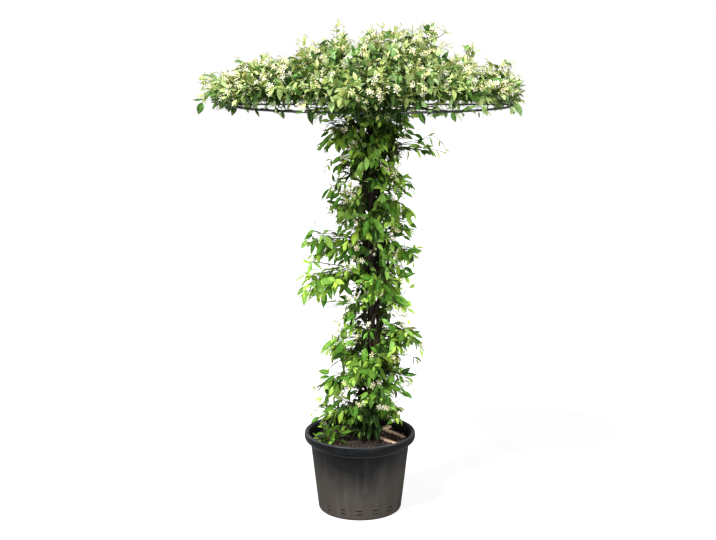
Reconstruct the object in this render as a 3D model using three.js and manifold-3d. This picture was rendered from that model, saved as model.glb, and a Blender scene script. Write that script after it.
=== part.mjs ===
// A star jasmine grown as a standard: pot, soil, stake, umbrella frame, twining stems and leafy sprays.
// Millimetres, +Z up. The origin is the centre of the pot's underside; the plant's front faces -Y.
import * as THREE from 'three';
import { mergeVertices } from 'three/addons/utils/BufferGeometryUtils.js';
import Module from 'manifold-3d';

const wasm = await Module();
wasm.setup();

// Driving dimensions of the pot
const potHeight = 360;
const rimRadius = 250;
const baseRadius = 186.5;
const shoulderRadius = 224;
const lipHeight = 34;
const potWall = 4;
const potFloor = 6;
const potSides = 32;
const slotLength = 28;
const slotHeight = 6;
const slotColumns = 16;
const slotRows = [30, 47];
const slotTurn = (-91 * Math.PI) / 180;
const soilTop = 314;
const seatGap = 0.3;

// Driving dimensions of the umbrella frame
const stakeX = 51;
const stakeRadius = 17;
const frameHeight = 1820;
const ringRadius = 598;
const ringRod = 5;
const spokeRod = 4;
const spokeCount = 6;
const hubRadius = 40;
const hubThickness = 8;
const headX = 10;

// Driving dimensions of the plant
const stemCount = 3;
const stemSides = 5;
const stemSteps = 30;
const stemPitch = 476;
const stemFoot = 8;
const stemTip = 5.5;
const leafThickness = 4;
const leafSlimness = 0.48;
const leafDroop = 0.03;
const crossingGap = 1.2;
const shootThickness = 3.4;
const rootDepth = 6;

const up = new THREE.Vector3(0, 0, 1);
const group = new THREE.Group();

const paint = {
  pot: [0x3a3937, 0.62, 0],
  soil: [0x1f1714, 0.95, 0],
  lath: [0xc9a27c, 0.75, 0],
  stake: [0x2b241f, 0.8, 0],
  frame: [0x17191b, 0.45, 0.6],
  bark: [0x5c4330, 0.85, 0],
  head: [0x8faa55, 0.5, 0],
  leaf: [0x4f7a2c, 0.45, 0],
};

// A small seeded generator, so that every run draws the same numbers
function randomFrom(seed) {
  let state = seed >>> 0;
  return () => {
    state = (state + 0x6d2b79f5) >>> 0;
    let mixed = Math.imul(state ^ (state >>> 15), state | 1);
    mixed ^= mixed + Math.imul(mixed ^ (mixed >>> 7), mixed | 61);
    return ((mixed ^ (mixed >>> 14)) >>> 0) / 4294967296;
  };
}

function toSolid(geometry) {
  const shape = geometry.clone();
  shape.deleteAttribute('normal');
  shape.deleteAttribute('uv');
  const merged = mergeVertices(shape, 1e-4);
  return new wasm.Manifold(new wasm.Mesh({
    numProp: 3,
    vertProperties: Float32Array.from(merged.attributes.position.array),
    triVerts: Uint32Array.from(merged.index.array),
  }));
}

// Loose scraps and sealed hollows are dropped: only the largest outer body of a solid stays
function largestBody(solid) {
  const bodies = solid.decompose();
  bodies.sort((a, b) => b.volume() - a.volume());
  return bodies[0];
}

function addSolid(name, solid, [color, roughness, metalness]) {
  const kept = largestBody(solid.simplify(0.02));
  const { vertProperties, triVerts } = kept.getMesh();
  const geometry = new THREE.BufferGeometry();
  geometry.setAttribute('position', new THREE.Float32BufferAttribute(vertProperties, 3));
  geometry.setIndex(Array.from(triVerts));
  geometry.computeVertexNormals();
  const material = new THREE.MeshStandardMaterial({ color, roughness, metalness });
  const mesh = new THREE.Mesh(geometry, material);
  mesh.name = name;
  group.add(mesh);
  return kept;
}

// Turns a profile of radius and height round Z, with the middle of a flat side at slotTurn
function lathe(profile, sides) {
  const points = profile.map(([radius, height]) => new THREE.Vector2(radius, height));
  const geometry = new THREE.LatheGeometry(points, sides);
  geometry.rotateX(Math.PI / 2);
  geometry.rotateZ(slotTurn + Math.PI / sides);
  return geometry;
}

// A round rod along a path, as an extruded section. radiusAt gives its radius at 0 to 1 of its length
function rod(path, radiusAt, sides, steps) {
  const section = new THREE.Shape();
  for (let side = 0; side < sides; side += 1) {
    const angle = (2 * Math.PI * side) / sides;
    const corner = [Math.cos(angle), Math.sin(angle)];
    if (side === 0) section.moveTo(...corner);
    else section.lineTo(...corner);
  }
  section.closePath();
  const geometry = new THREE.ExtrudeGeometry(section, { steps, extrudePath: path });
  const centres = path.getSpacedPoints(steps);
  const position = geometry.attributes.position;
  const corner = new THREE.Vector3();
  for (let index = 0; index < position.count; index += 1) {
    corner.fromBufferAttribute(position, index);
    let nearest = 0;
    centres.forEach((centre, step) => {
      if (corner.distanceTo(centre) < corner.distanceTo(centres[nearest])) nearest = step;
    });
    corner.sub(centres[nearest]).multiplyScalar(radiusAt(nearest / steps)).add(centres[nearest]);
    position.setXYZ(index, corner.x, corner.y, corner.z);
  }
  return geometry;
}

function straightRod(start, end, radius, sides) {
  return rod(new THREE.LineCurve3(start, end), () => radius, sides, 1);
}

// The pot: a tapered shell with a broad rolled lip and stacked drainage slots just above the floor
const lipFoot = potHeight - lipHeight;

function outerRadius(height) {
  return baseRadius + ((shoulderRadius - baseRadius) * height) / lipFoot;
}

function makePot() {
  const footRound = 9;
  const floorRound = 12;
  const lipStart = lipFoot - 18;
  const profile = [
    [0, 0], [baseRadius - 10, 0], [baseRadius - 2.5, 2.5], [outerRadius(footRound), footRound],
    [outerRadius(lipStart), lipStart], [rimRadius - 11, lipFoot - 7], [rimRadius - 2, lipFoot + 4],
    [rimRadius, lipFoot + 14], [rimRadius - 2, potHeight - 7], [rimRadius - 10, potHeight],
    [rimRadius - 19, potHeight - 4], [rimRadius - 26, potHeight - 15], [shoulderRadius - potWall, lipFoot],
    [outerRadius(floorRound) - potWall, floorRound], [baseRadius - floorRound, potFloor], [0, potFloor],
  ];
  const shell = toSolid(lathe(profile, potSides));
  const slots = [];
  slotRows.forEach((height) => {
    for (let column = 0; column < slotColumns; column += 1) {
      const angle = slotTurn + (2 * Math.PI * column) / slotColumns;
      const box = new THREE.BoxGeometry(10 * potWall, slotLength, slotHeight);
      box.translate(outerRadius(height), 0, height);
      box.rotateZ(angle);
      slots.push(toSolid(box));
    }
  });
  return shell.subtract(wasm.Manifold.union(slots));
}

// Each stem is a helix round the stake, wider at its foot and opening again where it passes the frame
const stemLow = 240;
const stemHigh = frameHeight + 40;

function stemPoint(stem, height) {
  const rise = (height - stemLow) / (stemHigh - stemLow);
  const wander = 4 * Math.abs(Math.sin(rise * 17 + stem * 2.1));
  const opening = 36 * Math.max(0, (rise - 0.84) / 0.16) ** 1.5;
  const radius = stakeRadius + stemFoot + 5 + wander + 6 * Math.exp(-rise * 16) + opening;
  const turns = stem / stemCount + (height - frameHeight) / stemPitch + 0.5 / spokeCount;
  const angle = 2 * Math.PI * turns;
  return new THREE.Vector3(stakeX + radius * Math.cos(angle), radius * Math.sin(angle), height);
}

function stemPath(stem) {
  const points = [];
  for (let step = 0; step <= stemSteps; step += 1) {
    points.push(stemPoint(stem, stemLow + ((stemHigh - stemLow) * step) / stemSteps));
  }
  return new THREE.CatmullRomCurve3(points);
}

function stemSolid(stem, extra) {
  const radiusAt = (share) => stemFoot + (stemTip - stemFoot) * share + extra;
  return toSolid(rod(stemPath(stem), radiusAt, stemSides, stemSteps));
}

// The umbrella frame: the stake carries a plate, and rods run from the plate to the ring
const hubCentre = new THREE.Vector3(stakeX, 0, frameHeight);
const ringTop = ringRod * Math.sin((2 * Math.PI) / 5);
const frameTop = frameHeight + ringTop;

function ringSolid(extra) {
  const torus = new THREE.TorusGeometry(ringRadius, ringRod + extra, 5, 36);
  torus.translate(hubCentre.x, hubCentre.y, hubCentre.z);
  return toSolid(torus);
}

function hubSolid(extra) {
  const radius = hubRadius + extra;
  const plate = new THREE.CylinderGeometry(radius, radius, hubThickness + 2 * extra, 12);
  plate.rotateX(Math.PI / 2);
  plate.translate(hubCentre.x, hubCentre.y, frameTop - hubThickness / 2);
  return toSolid(plate);
}

function stakeSolid(extra) {
  const foot = new THREE.Vector3(stakeX, 0, potFloor + 1);
  const head = new THREE.Vector3(stakeX, 0, frameTop - hubThickness - seatGap);
  return toSolid(straightRod(foot, head, stakeRadius + extra, 10));
}

function spokeSolid(spoke, extra) {
  const angle = (2 * Math.PI * spoke) / spokeCount;
  const away = new THREE.Vector3(Math.cos(angle), Math.sin(angle), 0);
  const middle = new THREE.Vector3(stakeX, 0, frameTop - spokeRod);
  const start = middle.clone().addScaledVector(away, hubRadius + seatGap - extra);
  const end = middle.clone().addScaledVector(away, ringRadius - ringRod - seatGap + extra);
  return toSolid(straightRod(start, end, spokeRod + extra, 6));
}

// Laths on the soil: two that point to the front right rim, and one across their rear ends
const lathWidth = 20;
const lathThickness = 10;
const laths = [
  { from: [53, 60.5], to: [165, -82.5], layer: 0 },
  { from: [114, 134], to: [203, 14], layer: 0 },
  { from: [46, 59], to: [140, 150], layer: 1 },
];

function lathSolid({ from, to, layer }) {
  const run = new THREE.Vector2(to[0] - from[0], to[1] - from[1]);
  const box = new THREE.BoxGeometry(run.length(), lathWidth, lathThickness);
  box.rotateZ(Math.atan2(run.y, run.x));
  const bottom = soilTop + seatGap + layer * (lathThickness + seatGap);
  box.translate((from[0] + to[0]) / 2, (from[1] + to[1]) / 2, bottom + lathThickness / 2);
  return toSolid(box);
}

// A leaf blade along +X with its base at 0: a pointed oval with a flat underside, highest along its rib.
// It is a three-sided prism: one long edge is the rib, the other two are the leaf's sides
function bladeGeometry(length, extra) {
  const section = new THREE.Shape([[0, 1], [-1, 0], [1, 0]].map((corner) => new THREE.Vector2(...corner)));
  const geometry = new THREE.ExtrudeGeometry(section, { depth: 1, bevelEnabled: false });
  const width = leafSlimness * length;
  const position = geometry.attributes.position;
  for (let index = 0; index < position.count; index += 1) {
    const hand = Math.round(position.getX(index));
    const far = position.getZ(index) > 0.5;
    let spot = far ? [length + extra, 0, -leafDroop * length] : [-extra, 0, 0];
    if (hand !== 0) {
      const [along, across] = far ? [0.66, 0.46] : [0.34, 0.4];
      spot = [along * length, hand * (across * width + extra), -leafThickness - extra];
    } else spot[2] += extra;
    position.setXYZ(index, ...spot);
  }
  return geometry;
}

// A star flower: five petals skewed like a pinwheel on a tube that narrows to its root at 0, along +Z
function starGeometry({ length, radius }, extra) {
  const geometry = new THREE.SphereGeometry(1, 10, 2);
  geometry.rotateX(Math.PI / 2);
  const position = geometry.attributes.position;
  for (let index = 0; index < position.count; index += 1) {
    const face = Math.sign(Math.round(position.getZ(index) * 10));
    const turn = Math.atan2(position.getY(index), position.getX(index));
    const corner = Math.round((turn * 5) / Math.PI) + 10;
    if (face > 0) position.setXYZ(index, 0, 0, length + extra);
    if (face < 0) position.setXYZ(index, 0, 0, -extra);
    if (face === 0) {
      const petal = corner % 2 === 0;
      const reach = (petal ? radius : 0.4 * radius) + extra;
      const skewed = (corner * Math.PI) / 5 + (petal ? 0.25 : 0);
      const lift = length + (petal ? 2 : -1);
      position.setXYZ(index, reach * Math.cos(skewed), reach * Math.sin(skewed), lift);
    }
  }
  return geometry;
}

// Turns a shape that is modelled along +X with its face up to a place on the plant
function placeAlong(geometry, base, along, face) {
  const side = new THREE.Vector3().crossVectors(face, along).normalize();
  const normal = new THREE.Vector3().crossVectors(along, side).normalize();
  const turned = new THREE.Matrix4().makeBasis(along, side, normal).setPosition(base);
  return toSolid(geometry.applyMatrix4(turned));
}

// Turns a shape that is modelled round +Z to a root and axis on the plant. across is roughly its +X
function placeOn(geometry, root, axis, across) {
  const side = new THREE.Vector3().crossVectors(axis, across).normalize();
  const front = new THREE.Vector3().crossVectors(side, axis).normalize();
  return toSolid(geometry.applyMatrix4(new THREE.Matrix4().makeBasis(front, side, axis).setPosition(root)));
}

// Everything that a new piece has to stay clear of, with the node that it belongs to
const placed = [];

function remember(owner, solid) {
  placed.push({ owner, solid, box: solid.boundingBox() });
}

function meets(solid, box, other) {
  const near = [0, 1, 2].every((axis) => box.min[axis] <= other.box.max[axis]
    && other.box.min[axis] <= box.max[axis]);
  return near && !solid.intersect(other.solid).isEmpty();
}

function isClearOf(solid, matters) {
  const box = solid.boundingBox();
  return placed.every((other) => !matters(other.owner) || !meets(solid, box, other));
}

// The parts of each spray, kept by the name of its node until they are fused
const sprays = new Map();

function keep(name, solid) {
  if (!sprays.has(name)) sprays.set(name, []);
  sprays.get(name).push(solid);
  remember(name, solid);
}

// A leaf is turned, raised or shortened until it crosses no other node, and no outer part of its own
const leafBends = [
  [0, 0, 1], [0.25, 0.15, 1], [-0.25, 0.15, 1], [0, 0.35, 1], [0, -0.3, 1], [0.5, 0.1, 1], [-0.5, 0.1, 1],
  [0, 0.7, 1], [0.4, -0.3, 0.9], [-0.4, -0.3, 0.9], [0.8, 0.3, 0.9], [-0.8, 0.3, 0.9], [0, 1.1, 0.9],
  [0.3, 0.6, 0.75], [-0.3, 0.6, 0.75], [0, 0, 0.6],
];

function addLeaf(name, base, along, face, length) {
  for (const [twist, lift, share] of leafBends) {
    const run = along.clone().addScaledVector(face, lift).applyAxisAngle(face, twist).normalize();
    const room = (from, extra) => placeAlong(
      bladeGeometry(length * share * (1 - from), extra),
      base.clone().addScaledVector(run, length * share * from),
      run,
      face,
    );
    if (isClearOf(room(0, crossingGap), (owner) => owner !== name)
      && isClearOf(room(0.15, 0), (owner) => owner === name)) {
      keep(name, room(0, 0));
      return;
    }
  }
}

// A star flower leans until it is clear in the same way
const starLeans = [0, 0.4, -0.4, 0.8];

function addStar(name, base, along, size) {
  const aside = new THREE.Vector3(along.y, -along.x, 0.01).normalize();
  for (const lean of starLeans) {
    const axis = along.clone().applyAxisAngle(aside, lean).normalize();
    const mouth = base.clone().addScaledVector(axis, size.length);
    const ball = toSolid(new THREE.OctahedronGeometry(size.radius).translate(mouth.x, mouth.y, mouth.z));
    const guard = placeOn(starGeometry(size, crossingGap), base, axis, aside);
    if (isClearOf(guard, (owner) => owner !== name) && isClearOf(ball, (owner) => owner === name)) {
      keep(name, placeOn(starGeometry(size, 0), base, axis, aside));
      return;
    }
  }
}

// A shoot leaves its root sideways, rises, and bows down towards its tip
function shootPath({ root, azimuth, reach, rise, droop }) {
  const away = new THREE.Vector3(Math.cos(azimuth), Math.sin(azimuth), 0);
  const points = [];
  for (let step = 0; step <= 6; step += 1) {
    const share = step / 6;
    const point = root.clone().addScaledVector(away, reach * share);
    point.z += rise * share - droop * share * share;
    points.push(point);
  }
  return new THREE.CatmullRomCurve3(points);
}

function shootSolid(path, thickness, extra, steps) {
  return toSolid(rod(path, (share) => thickness * (1 - 0.4 * share) + extra, 3, steps));
}

// Adds a shoot and returns whether it was clear of all but its source. In a stem it is cut at the stem's face
function addShoot(name, path, thickness, steps, source) {
  const guard = shootSolid(path, thickness, crossingGap, steps);
  if (!isClearOf(guard, (owner) => owner !== name && owner !== source)) return false;
  const shoot = shootSolid(path, thickness, 0, steps);
  keep(name, source === 'stem' ? largestBody(shoot.subtract(stemRoom)) : shoot);
  return true;
}

// Leaves stand in opposite pairs along a shoot. Every second pair is turned across the one before it
function addPairs(name, path, { pairs, from, length, open }, random) {
  for (let pair = 0; pair < pairs; pair += 1) {
    const share = pairs > 1 ? from + ((0.98 - from) * pair) / (pairs - 1) : 0.98;
    const base = path.getPointAt(share);
    const run = path.getTangentAt(share);
    const level = new THREE.Vector3().crossVectors(run, up).normalize();
    for (const hand of [-1, 1]) {
      const turn = (pair % 2 ? 1.2 : 0.25) + 0.5 * (random() - 0.5);
      const side = level.clone().multiplyScalar(hand);
      const aside = side.clone().applyAxisAngle(run, hand * turn * (pair % 4 === 1 ? -1 : 1));
      const along = run.clone().multiplyScalar(1 - open).addScaledVector(aside, open);
      along.addScaledVector(up, -0.3 * random());
      const face = up.clone().multiplyScalar(Math.cos(turn)).addScaledVector(side, 0.4 + 0.8 * Math.sin(turn));
      addLeaf(name, base, along.normalize(), face, length * (0.8 + 0.3 * random()));
    }
  }
}

function addCluster(name, base, along, count, radius, random) {
  for (let star = 0; star < count; star += 1) {
    const turn = (2 * Math.PI * star) / count + random();
    const spread = new THREE.Vector3(Math.cos(turn), Math.sin(turn), 0.6);
    const out = along.clone().addScaledVector(spread, 0.8).normalize();
    addStar(name, base, out, { length: 1.7 * radius, radius });
  }
}

// The point of a stem that faces a direction best, near a wished height
function rootOnStem(height, azimuth) {
  let best = { worth: -Infinity };
  for (let stem = 0; stem < stemCount; stem += 1) {
    for (let shift = -80; shift <= 80; shift += 8) {
      const point = stemPoint(stem, height + shift);
      const facing = Math.cos(Math.atan2(point.y, point.x - stakeX) - azimuth);
      const worth = facing - Math.abs(shift) / 400;
      if (worth > best.worth) best = { worth, point };
    }
  }
  return best.point;
}

// The sprig comes out of the soil at the left of the pot
const degree = Math.PI / 180;
const sprigRoot = new THREE.Vector3(-118, -58, soilTop - 30);
const sprigShoots = [
  { azimuth: 170 * degree, reach: 52, rise: 118, droop: 10 },
  { azimuth: 25 * degree, reach: 40, rise: 90, droop: 5 },
].map((plan) => shootPath({ root: sprigRoot, ...plan }));

// Soil: fills the pot below a low mound, with plain holes for the stake, the stems and the sprig
function makeSoil() {
  const gap = potWall + seatGap;
  const floorRound = 13;
  const profile = [
    [0, potFloor + seatGap], [baseRadius - floorRound, potFloor + seatGap],
    [outerRadius(floorRound) - gap, floorRound + seatGap], [outerRadius(soilTop) - gap, soilTop],
    [70, soilTop], [0, soilTop + 7],
  ];
  const holes = [stakeSolid(seatGap), stemRoom];
  sprigShoots.forEach((path) => holes.push(shootSolid(path, shootThickness, seatGap, 3)));
  return toSolid(lathe(profile, potSides)).subtract(wasm.Manifold.union(holes));
}

// The stems with the gap that a piece keeps to them
const all = (count, make) => Array.from({ length: count }, (unused, index) => make(index));
const stemRoom = wasm.Manifold.union(all(stemCount, (stem) => stemSolid(stem, seatGap + 0.1)));

function addFirm(name, solid, finish) {
  remember(name.split('_')[0], addSolid(name, solid, finish));
}

addFirm('pot', makePot(), paint.pot);
addFirm('soil', makeSoil(), paint.soil);
addFirm('stake', stakeSolid(0), paint.stake);
addFirm('hub_plate', hubSolid(0), paint.frame);
addFirm('ring', ringSolid(0), paint.frame);
all(spokeCount, (spoke) => addFirm(`spoke_${spoke + 1}`, spokeSolid(spoke, 0), paint.frame));
laths.forEach((lath, index) => addFirm(`lath_${index + 1}`, lathSolid(lath), paint.lath));
all(stemCount, (stem) => addFirm(`stem_${stem + 1}`, stemSolid(stem, 0), paint.bark));

// The head: low mounds that lie on the frame, one crown, a middle round and an edge round.
// On the right the ring lies further from the head's middle, so the edge mounds reach further out there
const headCores = [
  { name: 'head_crown', angle: 0, out: 0, half: [182, 182], height: 140, leaves: 24, stars: 3 },
  ...all(6, (cell) => ({
    name: `head_middle_${cell + 1}`,
    angle: (cell * Math.PI) / 3,
    out: 300,
    half: [108, 158],
    height: 95,
    leaves: 11,
    stars: 1,
  })),
  ...all(12, (cell) => {
    const angle = ((cell + 0.5) * Math.PI) / 6;
    const right = Math.max(0, Math.cos(angle));
    return {
      name: `head_edge_${cell + 1}`,
      angle,
      out: 528 + 8 * right,
      half: [104 + 14 * right, 130],
      height: 54,
      leaves: 8,
      stars: 0,
    };
  }),
];

// Puts a point of a core, given from the middle of its underside, to its place on the frame.
// The head is grown out more to the left, so its middle lies beside the stake
function toHead({ angle, out }, point) {
  point.y *= out ? (out + point.x) / out : 1;
  point.x += out;
  point.z += frameTop + seatGap;
  return point.applyAxisAngle(up, angle).add(new THREE.Vector3(headX, 0, 0));
}

// A mound with eight uneven sides and a flat underside
function coreSolid(core, random) {
  const ball = new THREE.SphereGeometry(1, 8, 3).rotateX(Math.PI / 2);
  const merged = mergeVertices(ball.deleteAttribute('normal').deleteAttribute('uv'), 1e-3);
  const position = merged.attributes.position;
  for (let index = 0; index < position.count; index += 1) {
    const point = new THREE.Vector3().fromBufferAttribute(position, index);
    const squarer = core.out && Math.abs(point.x * point.y) > 0.2 ? 1.2 : 1;
    const swell = (point.z > 0 ? 0.75 + 0.3 * random() : 1.08 + 0.06 * random()) * squarer;
    point.x *= core.half[0] * swell;
    point.y *= core.half[1] * swell;
    if (point.z > 0.9) point.z = core.height * (0.9 + 0.2 * random());
    else point.z = point.z > 0 ? core.height * (0.55 + 0.35 * random()) : 0;
    toHead(core, point);
    position.setXYZ(index, point.x, point.y, point.z);
  }
  core.skin = new THREE.Mesh(merged, new THREE.MeshBasicMaterial({ side: THREE.DoubleSide }));
  return toSolid(merged);
}

// A root just under the skin of a core, with the skin's normal. turn runs round the core, tip from its top down
function onCore(core, turn, tip) {
  const start = toHead(core, new THREE.Vector3(0, 0, 0.12 * core.height));
  const ray = new THREE.Vector3(Math.sin(tip) * Math.cos(turn), Math.sin(tip) * Math.sin(turn), Math.cos(tip));
  ray.multiply(new THREE.Vector3(...core.half, core.height)).normalize().applyAxisAngle(up, core.angle);
  const [hit] = new THREE.Raycaster(start, ray).intersectObject(core.skin);
  const normal = hit.face.normal.clone();
  return { point: hit.point.addScaledVector(normal, -rootDepth), normal };
}

headCores.forEach((core, index) => keep(core.name, coreSolid(core, randomFrom(31 + index))));

// Shoots of the head: the hand-set ones rise to the photo's three peaks, and each core has its own
const shoots = [];
const headThickness = 3.4;
const risingShoots = [
  { name: 'head_crown', at: [-70, -20], azimuth: 185, reach: 95, rise: 250 },
  { name: 'head_crown', at: [30, -60], azimuth: 300, reach: 40, rise: 255 },
  { name: 'head_crown', at: [60, 70], azimuth: 60, reach: 70, rise: 180 },
  { name: 'head_crown', at: [-60, 80], azimuth: 130, reach: 80, rise: 170 },
  { name: 'head_middle_1', at: [240, -20], azimuth: 10, reach: 30, rise: 265 },
];

function headShoot(name, plan, leaves) {
  const path = shootPath(plan);
  if (addShoot(name, path, headThickness, 3, name)) shoots.push({ name, path, stars: shoots.length % 2, leaves });
}

risingShoots.forEach(({ name, at, azimuth, reach, rise }) => {
  const root = new THREE.Vector3(stakeX + at[0], at[1], frameTop + 60);
  const plan = { root, azimuth: azimuth * degree, reach, rise, droop: 15 };
  headShoot(name, plan, { pairs: 3, from: 0.5, length: 84, open: 0.5 });
});

function edgeReach(angle) {
  const side = Math.cos(angle);
  return 52 + 52 * Math.max(0, -side) ** 1.5 - 48 * Math.max(0, side) ** 1.5;
}

headCores.forEach((core, index) => {
  const random = randomFrom(211 + index);
  if (core.name.includes('middle')) {
    const { point } = onCore(core, 1.4 + 3 * random(), 0.35);
    const plan = { root: point, azimuth: core.angle + 2 * (random() - 0.5), reach: 60, rise: 110, droop: 20 };
    headShoot(core.name, plan, { pairs: 2, from: 0.6, length: 96, open: 0.5 });
  }
  if (core.name.includes('edge')) {
    for (const hand of [-1, 1]) {
      const { point } = onCore(core, hand * (0.5 + 0.3 * random()), 1.2);
      const azimuth = core.angle + hand * (0.1 + 0.2 * random());
      const reach = edgeReach(core.angle) * (0.8 + 0.3 * random());
      const plan = { root: point, azimuth, reach, rise: 40 * random(), droop: 40 + 30 * random() };
      headShoot(core.name, plan, { pairs: 1, from: 0.6, length: 96, open: 0.45 });
    }
  }
});

// The column's shoots, by height, direction in degrees (0 is right, 270 the front) and size
const columnShoots = [
  { height: 1650, azimuth: 200, reach: 135, rise: 10, droop: 70 },
  { height: 1420, azimuth: 165, reach: 145, rise: 30, droop: 50 },
  { height: 1190, azimuth: 178, reach: 225, rise: 70, droop: 60 },
  { height: 1030, azimuth: 192, reach: 245, rise: 40, droop: 70 },
  { height: 800, azimuth: 160, reach: 155, rise: 20, droop: 60 },
  { height: 650, azimuth: 200, reach: 175, rise: 30, droop: 60 },
  { height: 500, azimuth: 172, reach: 170, rise: 30, droop: 60 },
  { height: 1520, azimuth: 22, reach: 125, rise: 40, droop: 50 },
  { height: 1350, azimuth: -28, reach: 140, rise: 30, droop: 60 },
  { height: 1190, azimuth: 12, reach: 150, rise: 40, droop: 50 },
  { height: 1010, azimuth: -20, reach: 130, rise: 30, droop: 40 },
  { height: 800, azimuth: -2, reach: 150, rise: 50, droop: 40 },
  { height: 640, azimuth: 28, reach: 140, rise: 40, droop: 50 },
  { height: 480, azimuth: -22, reach: 95, rise: 40, droop: 40 },
  { height: 1690, azimuth: 262, reach: 95, rise: 10, droop: 60 },
  { height: 1330, azimuth: 244, reach: 95, rise: 20, droop: 50 },
  { height: 1070, azimuth: 285, reach: 90, rise: 30, droop: 60 },
  { height: 770, azimuth: 258, reach: 100, rise: 20, droop: 60 },
  { height: 590, azimuth: 292, reach: 100, rise: 20, droop: 50 },
  { height: 1490, azimuth: 104, reach: 120, rise: 30, droop: 50 },
  { height: 1110, azimuth: 80, reach: 135, rise: 30, droop: 60 },
  { height: 730, azimuth: 96, reach: 135, rise: 30, droop: 60 },
];

function columnShoot(name, plan, leaves, stars) {
  const azimuth = plan.azimuth * degree;
  const path = shootPath({ ...plan, azimuth, root: rootOnStem(plan.height, azimuth) });
  if (!addShoot(name, path, shootThickness, 4, 'stem')) return;
  shoots.push({ name, path, stars, leaves });
}

columnShoots.forEach((plan, index) => {
  columnShoot(`leafy_shoot_${index + 1}`, plan, { pairs: 5, from: 0.15, length: 118, open: 0.6 }, index % 3 ? 0 : 1);
});
columnShoot(
  'outreach_shoot',
  { height: 1650, azimuth: -4, reach: 270, rise: 30, droop: 45 },
  { pairs: 4, from: 0.4, length: 66, open: 0.5 },
  0,
);
sprigShoots.forEach((path) => {
  if (addShoot('soil_sprig', path, shootThickness, 3, 'soil')) {
    shoots.push({ name: 'soil_sprig', path, stars: 0, leaves: { pairs: 3, from: 0.5, length: 62, open: 0.5 } });
  }
});

// Leaves and flowers of the shoots, then those of the cores
shoots.forEach(({ name, path, stars, leaves }, index) => {
  const random = randomFrom(977 + index);
  addPairs(name, path, leaves, random);
  addCluster(name, path.getPointAt(0.96), path.getTangentAt(1), stars, 20, random);
});

headCores.forEach((core, index) => {
  const random = randomFrom(4001 + index);
  for (let leaf = 0; leaf < core.leaves; leaf += 1) {
    const tip = 0.15 + 1.25 * Math.sqrt((leaf + 0.5) / core.leaves);
    const { point, normal } = onCore(core, leaf * 2.4 + random(), tip);
    const away = new THREE.Vector3(point.x - stakeX, point.y, 0).normalize();
    const sway = new THREE.Vector3(random() - 0.5, random() - 0.5, 0);
    const along = away.clone().addScaledVector(normal, 0.9).addScaledVector(sway, 1.4).normalize();
    addLeaf(core.name, point, along, normal.clone().addScaledVector(up, 0.3), 120 * (0.8 + 0.3 * random()));
  }
  for (let star = 0; star < core.stars; star += 1) {
    const { point, normal } = onCore(core, star * 2.4 + 1 + random(), 0.3 + 0.6 * random());
    addStar(core.name, point, normal, { length: 66, radius: 24 });
  }
});

sprays.forEach((parts, name) => {
  const fused = wasm.Manifold.union(parts);
  const open = name === 'head_crown' ? fused.subtract(stemRoom) : fused;
  addSolid(name, open, name.startsWith('head') ? paint.head : paint.leaf);
});

export default group;
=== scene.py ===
import math

import bpy
import numpy as np
from mathutils import Euler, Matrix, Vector


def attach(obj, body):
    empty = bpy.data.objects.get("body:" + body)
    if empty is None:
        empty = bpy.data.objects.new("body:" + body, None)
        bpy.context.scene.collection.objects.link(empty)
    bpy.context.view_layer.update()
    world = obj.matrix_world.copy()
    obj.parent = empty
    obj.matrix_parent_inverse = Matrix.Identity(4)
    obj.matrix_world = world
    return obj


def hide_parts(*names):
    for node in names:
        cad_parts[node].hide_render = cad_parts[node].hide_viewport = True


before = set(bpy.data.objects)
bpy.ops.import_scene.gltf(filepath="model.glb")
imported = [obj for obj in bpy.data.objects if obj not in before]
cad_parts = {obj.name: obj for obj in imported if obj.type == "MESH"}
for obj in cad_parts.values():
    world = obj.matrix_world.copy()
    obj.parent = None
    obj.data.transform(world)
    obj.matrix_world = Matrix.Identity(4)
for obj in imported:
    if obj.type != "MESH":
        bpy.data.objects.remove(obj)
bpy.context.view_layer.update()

# Sizes of the part, in metres
STAKE_X = 0.051
STAKE_RADIUS = 0.017
FRAME_Z = 1.820
RING_RADIUS = 0.598
RING_ROD = 0.005
FRAME_TOP = FRAME_Z + RING_ROD * math.sin(0.4 * math.pi)
HUB_RADIUS = 0.040
HUB_THICKNESS = 0.008
SPOKE_ROD = 0.004
HEAD_X = 0.010
SOIL_Z = 0.314
POT_HEIGHT = 0.360
BASE_RADIUS = 0.1865
SHOULDER_RADIUS = 0.224
LIP_FOOT = 0.326
STEM_LOW = 0.240
STEM_HIGH = FRAME_Z + 0.040
STEM_PITCH = 0.476
COLUMN_TOP = FRAME_Z - 0.05
LEAF_FLOOR = 0.42
WALL = 0.004
SOIL_FOOT = 0.0064
SOIL_GAP = 0.0045
JOINT_GAP = 0.0003
UP = np.array([0.0, 0.0, 1.0])

# The camera, solved from the photo: its place, the lens and sensor in mm, and how many degrees it looks down
EYE = np.array([-0.0086, -5.345, 2.104])
LENS, SENSOR, LOOK_DOWN = 62.04, 36.0, 10.68
# What the lights point at
LIT_POINT = Vector((0, 0, 1.1))

# Material slots of a leafy piece, and the values that its points carry into the materials
LEAF, TWIG, PETAL = 0, 1, 2
KEYS = ("tone", "youth", "along", "across")


def unit(v):
    return v / (np.linalg.norm(v, axis=-1, keepdims=True) + 1e-12)


def heading(angle):
    return np.array([math.cos(angle), math.sin(angle), 0])


def sideways(away):
    """The level direction to the left of another one."""
    return np.array([-away[1], away[0], 0])


def metres(rows):
    return [[value / 1000 for value in row] for row in rows]


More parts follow.
